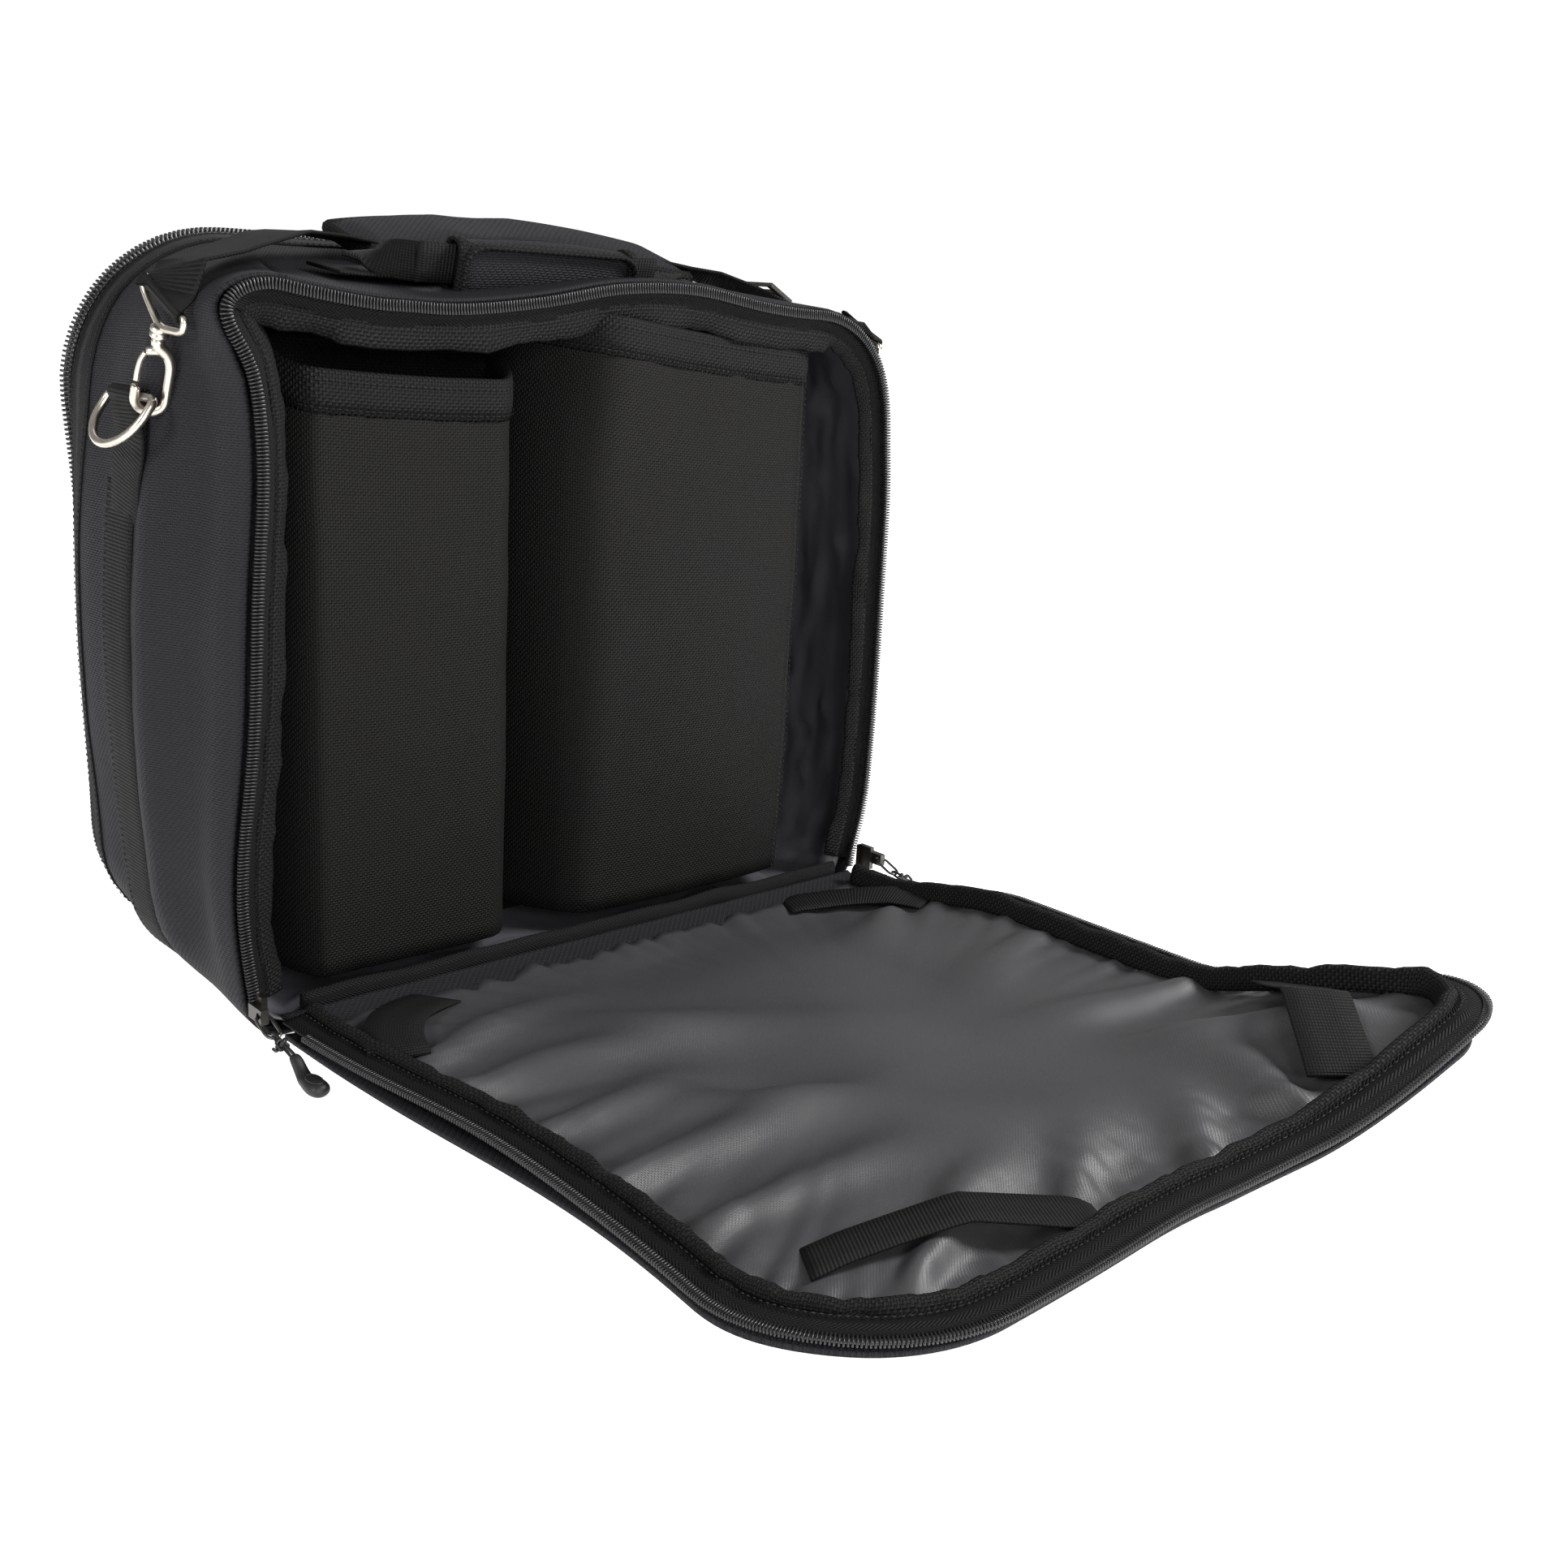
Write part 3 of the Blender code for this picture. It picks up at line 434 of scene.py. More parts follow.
def zip_teeth(name, points, outward, rise, body, nodes, reach=0.0021, pitch=0.0016):
    """A row of moulded coil teeth along a line; outward and rise give the directions."""
    places = resample(points, pitch)
    vertices, faces, lays = [], [], []
    shape = [(-reach, -0.42, -0.55), (-reach, 0.42, -0.55), (reach, 0.30, -0.40), (reach, -0.30, -0.40),
             (-reach, -0.42, 0.55), (-reach, 0.42, 0.55), (reach, 0.30, 0.40), (reach, -0.30, 0.40)]
    quads = [(0, 1, 2, 3), (4, 7, 6, 5), (0, 4, 5, 1), (1, 5, 6, 2), (2, 6, 7, 3), (3, 7, 4, 0)]
    last = len(places) - 1
    for k, place in enumerate(places):
        along = (places[min(k + 1, last)] - places[max(k - 1, 0)]).normalized()
        out = outward(place, along)
        up = rise(place, along)
        start = len(vertices)
        for p, q, r in shape:
            vertices.append(place + out * p + along * (q * pitch * 0.8) + up * (r * 0.0030))
        faces += [tuple(start + v for v in quad) for quad in quads]
        lays += [[(0, 0), (0, reach), (reach, reach), (reach, 0)]] * 6
    teeth = add_piece(name, vertices, faces, lays, COIL, body, nodes)
    bevel = teeth.modifiers.new("rounding", "BEVEL")
    bevel.width = 0.00022
    bevel.segments = 1
    return teeth


# The body's soft skin ---------------------------------------------------------------------
BASE_STEPS, WALL_STEPS, CORNER_STEPS, TOP_STEPS = 8, 22, 12, 44
SIDE_COUNT = BASE_STEPS + WALL_STEPS + CORNER_STEPS + 1      # points from base to top seam
RING_COUNT = 2 * SIDE_COUNT + TOP_STEPS - 1


def side_run(side, y):
    """The body's outline at depth y from the base seam up to the top seam."""
    share = (y - FRONT_Y) / (REAR_Y - FRONT_Y)
    height = mix(HEIGHT_FRONT, HEIGHT_REAR, share)
    top = mix(TOP_RADIUS_FRONT[side], TOP_RADIUS_REAR[side], share)
    base = mix(BASE_RADIUS_FRONT, BASE_RADIUS_REAR, share)
    half = WIDTH / 2
    points = arc((half - base, base), base, -90, 0, BASE_STEPS)
    rise = height - top - base
    points += [(half, base + rise * k / WALL_STEPS) for k in range(1, WALL_STEPS)]
    points += arc((half - top, height - top), top, 0, 90, CORNER_STEPS)
    return [(side * x, z) for x, z in points]


def ring(y):
    """The whole outline at depth y: left side, top, right side, with outward normals."""
    left = side_run(-1, y)
    right = side_run(1, y)[::-1]
    (x0, z0), (x1, z1) = left[-1], right[0]
    top = [(mix(x0, x1, k / TOP_STEPS), mix(z0, z1, k / TOP_STEPS)) for k in range(1, TOP_STEPS)]
    points = left + top + right
    result = []
    for k, (x, z) in enumerate(points):
        bx, bz = points[max(k - 1, 0)]
        ax, az = points[min(k + 1, len(points) - 1)]
        length = math.hypot(ax - bx, az - bz)
        result.append((x, z, -(az - bz) / length, (ax - bx) / length))
    return result


def rim_shift(x, z):
    """How the empty bag's front edge sags and flares from its cut outline."""
    dx = dz = 0.0
    if x < -0.12:
        dx += -0.010 * bell(z, 0.072, 0.065) + 0.005 * bell(z, 0.270, 0.050)
        dx += -0.016 * bell(z, 0.336, 0.020)
    if x > 0.12:
        dx += -0.005 * bell(z, 0.292, 0.035) - 0.009 * bell(z, 0.012, 0.030)
        dx += 0.002 * bell(z, 0.120, 0.08)
    if z > 0.27:
        rise = 0.004 * bell(x, -0.195, 0.030) - 0.006 * bell(x, -0.105, 0.050)
        rise += 0.009 * bell(x, 0.038, 0.050) + 0.003 * bell(x, -0.010, 0.030)
        dz += rise * smooth((z - 0.27) / 0.06)
    return dx, dz


def skin_fold(side, y, z):
    """Soft upright folds in a side panel."""
    fade = smooth(z / 0.06) * smooth((0.345 - z) / 0.05)
    wave = 0.0050 * bell(y, -0.020, 0.014) - 0.0045 * bell(y, -0.052, 0.016)
    wave += 0.0035 * bell(y, -0.080, 0.010) - 0.0030 * bell(y, 0.040, 0.016)
    wave += 0.0020 * rough(side * 0.4, y, z, 9.0, 3.1) + 0.0012 * rough(side, y, z, 26.0, 7.7)
    return wave * fade


def skin_point(place, y, lift=0.0, folds=1.0):
    """One point of the body's outer skin; place is an entry of ring(y)."""
    x, z, nx, nz = place
    share = clamp((y - FRONT_Y) / (REAR_Y - FRONT_Y))
    dx, dz = rim_shift(x, z)
    front = (1 - share) ** 1.6
    side = -1 if x < 0 else 1
    upright = abs(nx)
    bulge = 0.010 * upright * math.sin(math.pi * share) ** 0.8 * math.sin(math.pi * clamp(z / 0.35))
    bulge += 0.004 * upright * bell(z, 0.16, 0.09) * share
    belly = math.sin(math.pi * share)
    sag = (1 - upright) * belly * (0.5 + 0.5 * rough(x, y, 0.0, 8.0, 1.3)) * 0.004
    if z < 0.2:
        sag = 0.0
    out = lift + bulge + folds * upright * skin_fold(side, y, z) * belly ** 0.5 - folds * sag
    return Vector((x + dx * front + nx * out, y, max(z + dz * front + nz * out, 0.0006)))


def skin_rows(ys, first, last, lift=0.0, folds=1.0):
    rows = []
    for y in ys:
        places = ring(y)[first:last]
        rows.append([skin_point(place, y, lift, folds) for place in places])
    return rows


def spread(low, high, count):
    return [mix(low, high, k / count) for k in range(count + 1)]


def stitch_line(name, points, outward, body, gap=0.0034, size=0.0006):
    """Short raised stitches along a line on the cloth."""
    places = resample(points, gap)
    vertices, faces, lays = [], [], []
    for before, after in zip(places, places[1:]):
        along = (after - before).normalized()
        out = outward(before, along)
        across = along.cross(out).normalized()
        middle = (before + after) / 2 + out * size * 0.25
        start = len(vertices)
        for p, q, r in ((-1, 0, 0), (0, -1, 0), (1, 0, 0), (0, 1, 0), (0, 0, 1), (0, 0, -1)):
            vertices.append(middle + along * p * gap * 0.38 + across * q * size * 0.55
                            + out * r * size * 0.55)
        for a, b, c in ((0, 1, 4), (1, 2, 4), (2, 3, 4), (3, 0, 4), (1, 0, 5), (2, 1, 5), (3, 2, 5),
                        (0, 3, 5)):
            faces.append((start + a, start + b, start + c))
            lays.append([(0, 0), (gap, 0), (gap, size)])
    return add_piece(name, vertices, faces, lays, THREAD, body)


def make_body():
    """Side panels, top, base, rear tape and the lining."""
    top_first, top_last = SIDE_COUNT - 1, SIDE_COUNT + TOP_STEPS
    ys = spread(FRONT_Y, REAR_SEAM_Y, 34)
    grid("bag_side_left", skin_rows(ys, 0, SIDE_COUNT, PANEL_THICKNESS), TWILL, "bag",
         ["side_panel_left"], PANEL_THICKNESS, -1)
    grid("bag_side_right", skin_rows(ys, RING_COUNT - SIDE_COUNT, RING_COUNT, PANEL_THICKNESS),
         TWILL, "bag", ["side_panel_right"], PANEL_THICKNESS, -1)
    grid("bag_top", skin_rows(ys, top_first, top_last, PANEL_THICKNESS), TWILL, "bag",
         ["top_panel"], PANEL_THICKNESS, -1)
    rows = []
    for y in spread(-BASE_HALF_DEPTH, BASE_HALF_DEPTH, 30):
        share = clamp((y - FRONT_Y) / (REAR_Y - FRONT_Y))
        half = WIDTH / 2 - mix(BASE_RADIUS_FRONT, BASE_RADIUS_REAR, share) + 0.0012
        row = [Vector((half * c / 20, y, 0.0004 + 0.0010 * smooth((abs(c) - 16) / 4)))
               for c in range(-20, 21)]
        rows.append(row)
    grid("bag_base", rows, TWILL, "bag", ["base_panel"], 0.0024, 1)

    def tape_start(k):
        """The rear tape widens over the top corners."""
        height = side_run(-1, REAR_SEAM_Y)[min(k, RING_COUNT - 1 - k, SIDE_COUNT - 1)][1]
        return REAR_SEAM_Y - 0.006 - 0.016 * smooth((height - 0.20) / 0.12)

    steps = 8
    rows = []
    rings = {}
    for s in range(steps + 1):
        row = []
        for k in range(RING_COUNT):
            y = mix(tape_start(k), REAR_Y, s / steps)
            key = round(y, 5)
            if key not in rings:
                rings[key] = ring(y)
            lift = mix(0.0030, 0.0008, smooth(s / steps))
            row.append(skin_point(rings[key][k], y, lift))
        rows.append(row)
    grid("rear_tape_band", rows, TAPE, "bag", ["rear_zip_tape"], 0.0010, -1)
    for name, share in (("rear_tape_stitch_a", 0.10), ("rear_tape_stitch_b", 0.88)):
        line = [a.lerp(b, share) for a, b in zip(rows[0], rows[-1])]
        line = [p + Vector((p.x, 0, p.z - 0.16)).normalized() * 0.0004 for p in line]
        stitch_line(name, line, lambda p, a: Vector((p.x, 0, p.z - 0.16)).normalized(), "bag")

    def lining_point(place, y):
        x, z = place[:2]
        wrinkle = 0.0052 * rough(x * 0.25, y * 0.8 + z * 0.5, z * 1.6, 42.0, 5.0)
        wrinkle += 0.0026 * rough(x * 0.3, y + z, z * 2.0, 95.0, 9.0)
        edge = smooth((y - FRONT_Y) / 0.014)
        return skin_point(place, y, -0.0050 - 0.0022 * edge + wrinkle * edge, 0.0)

    ys = spread(FRONT_Y + 0.0030, 0.0440, 40)
    rows = [[lining_point(place, y) for place in ring(y)] for y in ys]
    floor = []
    for row in rows:
        a, b = row[-1], row[0]
        extra = []
        for k in range(1, 40):
            point = a.lerp(b, k / 40)
            point.z = 0.0052 + 0.0030 * (0.5 + 0.5 * rough(point.x, point.y, 0.0, 34.0, 2.0))
            point.z += 0.0030 * smooth((point.y + 0.05) / -0.03)
            extra.append(point)
        floor.append(row + extra)
    grid("bag_lining", floor, DARK_SATIN, "bag", ["main_lining"], 0.0008, -1, wrap=True)
    rows = []
    for y in spread(-0.0860, 0.0300, 30):
        row = []
        for x in spread(-0.1500, 0.1500, 60):
            edge = min(0.1500 - abs(x), y + 0.0860, 0.0300 - y)
            height = 0.0060 + 0.0036 * smooth(edge / 0.006) + 0.0014 * rough(x, y, 0.0, 38.0, 11.0)
            row.append(Vector((x, y, height)))
        rows.append(row)
    grid("base_board_cover", rows, DARK_SATIN, "bag", ["base_board"], 0.0014, -1)


# Front opening ----------------------------------------------------------------------------
def out_of_outline(place, along):
    """The direction that leaves an upright outline drawn clockwise from the front."""
    return Vector((-along.z, 0, along.x))


def arch_path(half_width, foot, height, radius, inset=0.0, step=0.004):
    """A doorway outline as evenly spaced (x, z) points."""
    half = half_width - inset
    points = [(-half, foot)]
    points += arc((radius[-1] - half_width, height - radius[-1]), radius[-1] - inset, 180, 90, 12)
    points += arc((half_width - radius[1], height - radius[1]), radius[1] - inset, 90, 0, 12)
    points.append((half, foot))
    return resample([Vector((x, 0, z)) for x, z in points], step)


def rim_frames(inset, y, foot=0.024, step=0.004):
    """Frames round the front opening: side points inward, rise points to the rear."""
    line = arch_path(WIDTH / 2, foot, HEIGHT_FRONT, TOP_RADIUS_FRONT, inset, step)
    points = []
    for point in line:
        dx, dz = rim_shift(point.x, point.z)
        points.append(Vector((point.x + dx, y, point.z + dz)))
    frames = []
    for k, point in enumerate(points):
        along = (points[min(k + 1, len(points) - 1)] - points[max(k - 1, 0)]).normalized()
        inward = Vector((along.z, 0, -along.x))
        frames.append((point, inward, Vector((0, 1, 0))))
    return frames


def make_rim():
    """Coil, herringbone tape and mesh binding of the front opening."""
    frames = rim_frames(COIL_INSET, RIM_COIL_Y, 0.016)
    points = [f[0] for f in frames]
    zip_teeth("rim_teeth", points, out_of_outline, lambda p, a: Vector((0, -1, 0)), "bag",
              ["rim_zip_coil"], FRONT_TOOTH_REACH)
    rod("rim_cord", [p + Vector((0, 0.0008, 0)) for p in points], 0.0008, TAPE, "bag", sides=8)
    body = rim_frames(0.0, -0.0930, 0.020)

    def tape(k):
        ripple = 0.0010 * noise.noise(Vector((k * 0.21, 0, 4.0)))
        return [(0.0010, -0.0012), (0.0060, -0.0006), (0.0110, 0.0006 + ripple),
                (0.0110, 0.0014 + ripple), (0.0060, 0.0004), (0.0010, -0.0002)]

    sweep("rim_tape", body, tape, TAPE, "bag", ["rim_zip_tape"])

    def binding(k):
        place = body[k][0]
        wide = 0.0078 + 0.0026 * noise.noise(Vector((k * 0.17, 1.0, 0))) \
            + 0.0012 * noise.noise(Vector((k * 0.6, 2.0, 0)))
        if place.z > 0.32 and abs(place.x) < 0.15:
            wide += 0.0040
        curl = 0.0030 + 0.0035 * noise.noise(Vector((k * 0.13, 5.0, 0)))
        if place.x < -0.15:
            curl += 0.0060 * bell(place.z, 0.28, 0.06)
            wide += 0.0025
        start = 0.0096
        end = start + wide
        return [(start, 0.0002), (start + wide * 0.5, 0.0004 + curl * 0.25), (end - 0.001, curl),
                (end, curl + 0.0012), (end - 0.001, curl + 0.0026),
                (start + wide * 0.5, 0.0032 + curl * 0.35), (start, 0.0030), (start - 0.001, 0.0016)]

    sweep("rim_binding_strip", body, binding, BINDING, "bag", ["rim_binding"])
    stitches = [f[0] + f[1] * 0.0118 + Vector((0, -0.0004, 0)) for f in body]
    stitch_line("rim_stitches", stitches, lambda p, a: Vector((0, -1, 0)), "bag")
    line = [Vector((x, -0.0933, 0.0138 + 0.0016 * rough(x, 0, 0, 30.0, 4.0)))
            for x in spread(-0.178, 0.178, 80)]

    def hinge_profile(k):
        puff = 0.0008 * noise.noise(Vector((k * 0.5, 0, 9.0)))
        return [(-0.0052, -0.0016), (0.0, -0.0026 - puff), (0.0050, -0.0018), (0.0062, 0.0),
                (0.0050, 0.0022), (0.0, 0.0026 + puff), (-0.0052, 0.0018), (-0.0060, 0.0)]

    sweep("hinge_tape", [(p, Vector((0, 0, 1)), Vector((0, 1, 0))) for p in line], hinge_profile,
          TAPE, "bag", ["hinge_binding"])


# Pouches and partition --------------------------------------------------------------------
def pouch_loop(low, high, z, bulge, lean, left_round, right_round, count=72):
    """A pouch cut at height z: flat back, a front that swells and rounds into its sides."""
    x0, x1 = low[0], high[0]
    y_back = high[1]
    points = []
    share = clamp((z - low[2]) / (high[2] - low[2]))
    swell = bulge * math.sin(math.pi * clamp(0.12 + 0.80 * share)) + lean * share
    y_front = low[1] + 0.002
    half = (x1 - x0) / 2
    middle = (x0 + x1) / 2
    for k in range(count):
        t = k / count
        if t < 0.62:
            s = -1 + 2 * t / 0.62
            rounding = left_round if s < 0 else right_round
            drop = clamp(1 - (half - abs(s) * half) / rounding) ** 2.4
            y = y_front - swell * (1 - s * s) ** 1.0 + drop * (y_back - y_front) * 0.86
            ripple = 0.0011 * rough(middle + s * half, 0.0, z, 22.0, 6.0)
            ripple += 0.0006 * rough(middle + s * half, 0.0, z, 60.0, 3.0)
            points.append(Vector((middle + s * half, y + ripple * (1 - drop), z)))
        elif t < 0.70:
            points.append(Vector((x1, mix(y_front, y_back, 0.90 + 0.1 * (t - 0.62) / 0.08), z)))
        elif t < 0.94:
            s = 1 - 2 * (t - 0.70) / 0.24
            points.append(Vector((middle + s * half * 0.995, y_back, z)))
        else:
            points.append(Vector((x0, mix(y_back, y_front, 0.1 * (t - 0.94) / 0.06), z)))
    return points


def make_pouch(name, node, low, high, bulge, lean, left_round, right_round, tops, rise, push=0.0):
    """A sewn pouch with a bound mouth; tops gives the mouth's height at its left and right."""
    rows = []
    count = 34
    for r in range(count + 1):
        row = []
        for point in pouch_loop(low, high, mix(low[2], high[2], r / count), bulge, lean,
                                left_round, right_round):
            across = (point.x - low[0]) / (high[0] - low[0])
            top = mix(tops[0], tops[1], across) - 0.002 * math.sin(math.pi * across)
            front = 1 - smooth((point.y - low[1] - 0.002) / 0.020)
            point.y -= push * front * smooth((r / count - 0.75) / 0.2) * smooth((0.5 - across) / 0.3)
            top += rise * smooth((point.y - low[1]) / (high[1] - low[1]))
            point.z = mix(low[2], top, r / count)
            row.append(point)
        rows.append(row)
    wall = grid(name, rows, BALLISTIC, "bag", [node], 0.0018, -1, wrap=True)
    shape = bmesh.new()
    shape.from_mesh(wall.data)
    shape.verts.ensure_lookup_table()
    bottom = [shape.verts[k] for k in range(len(rows[0]))]
    face = shape.faces.new(bottom[::-1])
    face.smooth = True
    bmesh.ops.triangulate(shape, faces=[face])
    shape.to_mesh(wall.data)
    shape.free()
    mouth = rows[-1]
    size = len(mouth)
    frames = []
    for k, point in enumerate(mouth):
        along = (mouth[(k + 1) % size] - mouth[k - 1]).normalized()
        out = along.cross(Vector((0, 0, 1))).normalized()
        frames.append((point, Vector((0, 0, 1)), out))

    def binding(k):
        drop = -0.0185 + 0.0008 * noise.noise(Vector((k * 0.8, 3.0, low[0])))
        return [(drop, 0.0010), (-0.010, 0.0018), (0.0006, 0.0014), (0.0016, 0.0), (0.0006, -0.0030),
                (-0.010, -0.0034), (drop, -0.0026), (drop + 0.003, -0.0012)]

    sweep(name + "_binding", frames, binding, BINDING, "bag", closed=True)
    front = [k for k in range(size) if k / size < 0.62]
    for label, drop in (("upper", 0.0035), ("lower", 0.0160)):
        line = [frames[k][0] + frames[k][2] * 0.0021 - Vector((0, 0, drop)) for k in front]
        stitch_line(name + "_stitch_" + label, line, lambda p, a: Vector((0, -1, 0)), "bag")
    return rows


def make_inside():
    """Both pouches, the partition with its board, the divider and the hanging loop."""
    make_pouch("pouch_left_cloth", "pouch_left", (-0.174, -0.0845, 0.020), (-0.037, -0.0310, 0.308),
               0.003, -0.002, 0.016, 0.030, (0.3100, 0.3050), 0.013)
    right = make_pouch("pouch_right_cloth", "pouch_right", (-0.034, -0.0870, 0.022), (0.152, -0.0310, 0.330),
                       0.009, 0.000, 0.038, 0.020, (0.3420, 0.3230), 0.002, 0.0085)
    count = len(right[0])
    for label, share in (("a", 0.575), ("b", 0.560)):
        k = round(count * share)
        line = [row[k] + Vector((0.0, -0.0008, 0.0)) for row in right]
        stitch_line("pouch_edge_stitch_" + label, line, lambda p, a: Vector((0, -1, 0)), "bag")
    wall = arch_path(0.177, 0.0085, 0.320, {-1: 0.012, 1: 0.012}, 0.0, 0.006)
    rows = []
    for share in spread(0.0, 1.0, 10):
        rows.append([Vector((p.x * mix(0.02, 1.0, share), -0.0285 + 0.0012 * rough(p.x, share, p.z, 12.0),
                             mix(0.010, p.z, share))) for p in wall])
    grid("partition_cloth", rows, BALLISTIC, "bag", ["partition_panel"], 0.0022, 0)
    edge = [p for p in wall if p.z > 0.20]
    frames = line_frames([Vector((p.x, -0.0285, p.z)) for p in edge], (0, 1, 0))
    sweep("partition_binding", frames, [(-0.0022, -0.008), (-0.0026, 0.0), (-0.0014, 0.0016),
                                        (0.0014, 0.0016), (0.0026, 0.0), (0.0022, -0.008)],
          BINDING, "bag")
    board = arch_path(0.090, 0.0100, 0.3285, {-1: 0.045, 1: 0.045}, 0.0, 0.005)
    rows = []
    for share in spread(0.0, 1.0, 6):
        rows.append([Vector((0.005 + p.x * mix(0.05, 1.0, share), -0.0263, mix(0.012, p.z, share)))
                     for p in board])
    grid("partition_stiffener", rows, BOARD, "bag", ["partition_board"], 0.0012, 0)
    rows = []
    outline = [skin_point(place, 0.0475, -0.0062, 0.0) for place in ring(0.0475)]
    outline += [outline[-1].lerp(outline[0], k / 40) for k in range(1, 40)]
    for share in spread(0.0, 1.0, 12):
        row = []
        for p in outline:
            x = p.x * mix(0.002, 1.0, share)
            z = mix(0.16, p.z, share)
            row.append(Vector((x, 0.0465 + 0.0016 * rough(x, 0, z, 18.0, 8.0), z)))
        rows.append(row)
    grid("divider_cloth", rows, DARK_SATIN, "bag", ["divider_panel"], 0.003, 0, wrap=True)
    loop = spline([Vector((-0.119, 0.004, 0.3400)), Vector((-0.114, 0.0020, 0.3290)),
                   Vector((-0.104, -0.002, 0.3150)), Vector((-0.097, -0.001, 0.3010))])
    frames = line_frames(loop, (1, 0, 0))
    sweep("hanging_loop", frames, strap_profile(0.0100, 0.0014), WEBBING, "bag", ["interior_loop"])


def flap_lift(x, y):
    """How far the slack flap stands off the ground: a ridge on the right, a curled corner."""
    ridge = 0.016 * smooth((x - 0.08) / 0.11) * smooth((-y - 0.13) / 0.10)
    curl = 0.036 * smooth((x - 0.02) / 0.18) * smooth((-y - 0.34) / 0.13)
    far = 0.004 * smooth((-y - 0.44) / 0.04) * bell(x, 0.02, 0.06)
    return ridge + curl + far


def flap_pull(x, y):
    """The slack corner also reaches out past the cut outline, and the left edge in."""
    share = smooth((x - 0.04) / 0.15) * smooth((-y - 0.36) / 0.12)
    near = smooth((0.15 - x) / 0.17) * smooth((-y - 0.38) / 0.08)
    pinch = 0.015 * bell(y, -0.33, 0.12) * smooth((-x - 0.02) / 0.15)
    return 0.010 * share + pinch, -0.016 * share + 0.013 * near


def flap_soft(piece):
    """The corner's pull, which stays."""
    for vertex in piece.data.vertices:
        dx, dy = flap_pull(vertex.co.x, vertex.co.y)
        vertex.co.x += dx
        vertex.co.y += dy
    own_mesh(piece)
    return piece


def flap_frames(inset, z, near=-FLAP_NEAR_Y, step=0.004):
    """Frames round the flap's edge: side points inward, rise points up."""
    line = arch_path(WIDTH / 2, near, COIL_INSET - FLAP_FAR_Y, FLAP_RADIUS, inset, step)
    points = []
    for p in line:
        x, y = p.x, -p.z
        pinch = 0.006 * bell(y, -0.24, 0.07) * (1 if x < -0.15 else 0)
        points.append(Vector((x + pinch, y, z + flap_lift(x, y))))
    frames = []
    for k, point in enumerate(points):
        along = (points[min(k + 1, len(points) - 1)] - points[max(k - 1, 0)]).normalized()
        inward = Vector((0, 0, 1)).cross(along).normalized()
        frames.append((point, inward, along.cross(inward).normalized()))
    return frames


FOLD_GAIN = 1.8
FOLDS = (
    # x and y of a fold's two ends, its height and half width
    (-0.170, -0.180, -0.060, -0.160, 0.0035, 0.012),
    (-0.172, -0.215, -0.030, -0.232, 0.0045, 0.015),
    (-0.168, -0.265, -0.070, -0.268, 0.0032, 0.011),
    (-0.165, -0.315, 0.000, -0.325, 0.0045, 0.015),
    (-0.150, -0.365, -0.040, -0.372, 0.0040, 0.012),
    (-0.110, -0.445, -0.020, -0.395, 0.0045, 0.012),
    (-0.050, -0.468, 0.030, -0.405, 0.0040, 0.011),
    (0.040, -0.470, 0.085, -0.400, 0.0040, 0.011),
    (0.095, -0.465, 0.115, -0.375, 0.0045, 0.013),
    (0.150, -0.430, 0.085, -0.350, 0.0045, 0.012),
    (0.168, -0.350, 0.070, -0.320, 0.0042, 0.014),
    (0.165, -0.260, 0.090, -0.275, 0.0030, 0.014),
    (0.150, -0.170, 0.090, -0.205, 0.0030, 0.014),
    (-0.070, -0.210, 0.090, -0.330, 0.0036, 0.026),
    (-0.090, -0.300, 0.060, -0.420, 0.0034, 0.022),
)


def fold_height(x, y):
    """Folds of the slack lining, sharp where they leave the binding and dying inward."""
    total = 0.0
    for x0, y0, x1, y1, high, wide in FOLDS:
        dx, dy = x1 - x0, y1 - y0
        length = math.hypot(dx, dy)
        along = ((x - x0) * dx + (y - y0) * dy) / length ** 2
        if -0.3 < along < 1.3:
            off = ((x - x0) * dy - (y - y0) * dx) / length
            off += 0.004 * rough(x, y, 0, 20.0, 3.0)
            spread_out = wide * (0.55 + 0.9 * clamp(along))
            fade = smooth((along + 0.3) / 0.3) * smooth((1.3 - along) / 0.9)
            total += FOLD_GAIN * high * fade * math.exp(-(off / spread_out) ** 2)
    return total


def flap_edge_distance(x, y):
    """Distance in from the binding's inner edge."""
    near = -y + FLAP_NEAR_Y
    sides = WIDTH / 2 - 0.016 - abs(x)
    far = y - FLAP_FAR_Y - 0.016
    radius = FLAP_RADIUS[-1 if x < 0 else 1]
    corner_x = WIDTH / 2 - radius
    corner_y = FLAP_FAR_Y + radius
    if abs(x) > corner_x and y < corner_y:
        far = radius - 0.016 - math.hypot(abs(x) - corner_x, y - corner_y)
        sides = far
    return min(near, sides, far)


def lining_height(x, y):
    inward = flap_edge_distance(x, y)
    dome = 0.0085 + 0.0065 * smooth(inward / 0.090)
    pull = math.exp(-max(inward, 0) / 0.030)
    angle = math.atan2(y + 0.30, x)
    pucker = 0.0042 * pull * rough(math.cos(angle) * 0.25, math.sin(angle) * 0.25, 0.0, 75.0, 2.0)
    pucker += 0.0012 * pull * rough(x, y, 0.0, 110.0, 6.0)
    broad = 0.0048 * rough(x, y, 0.0, 11.0, 4.0) * smooth(inward / 0.04)
    return dome + pucker + broad + fold_height(x, y) * smooth((inward + 0.004) / 0.012) + flap_lift(x, y)


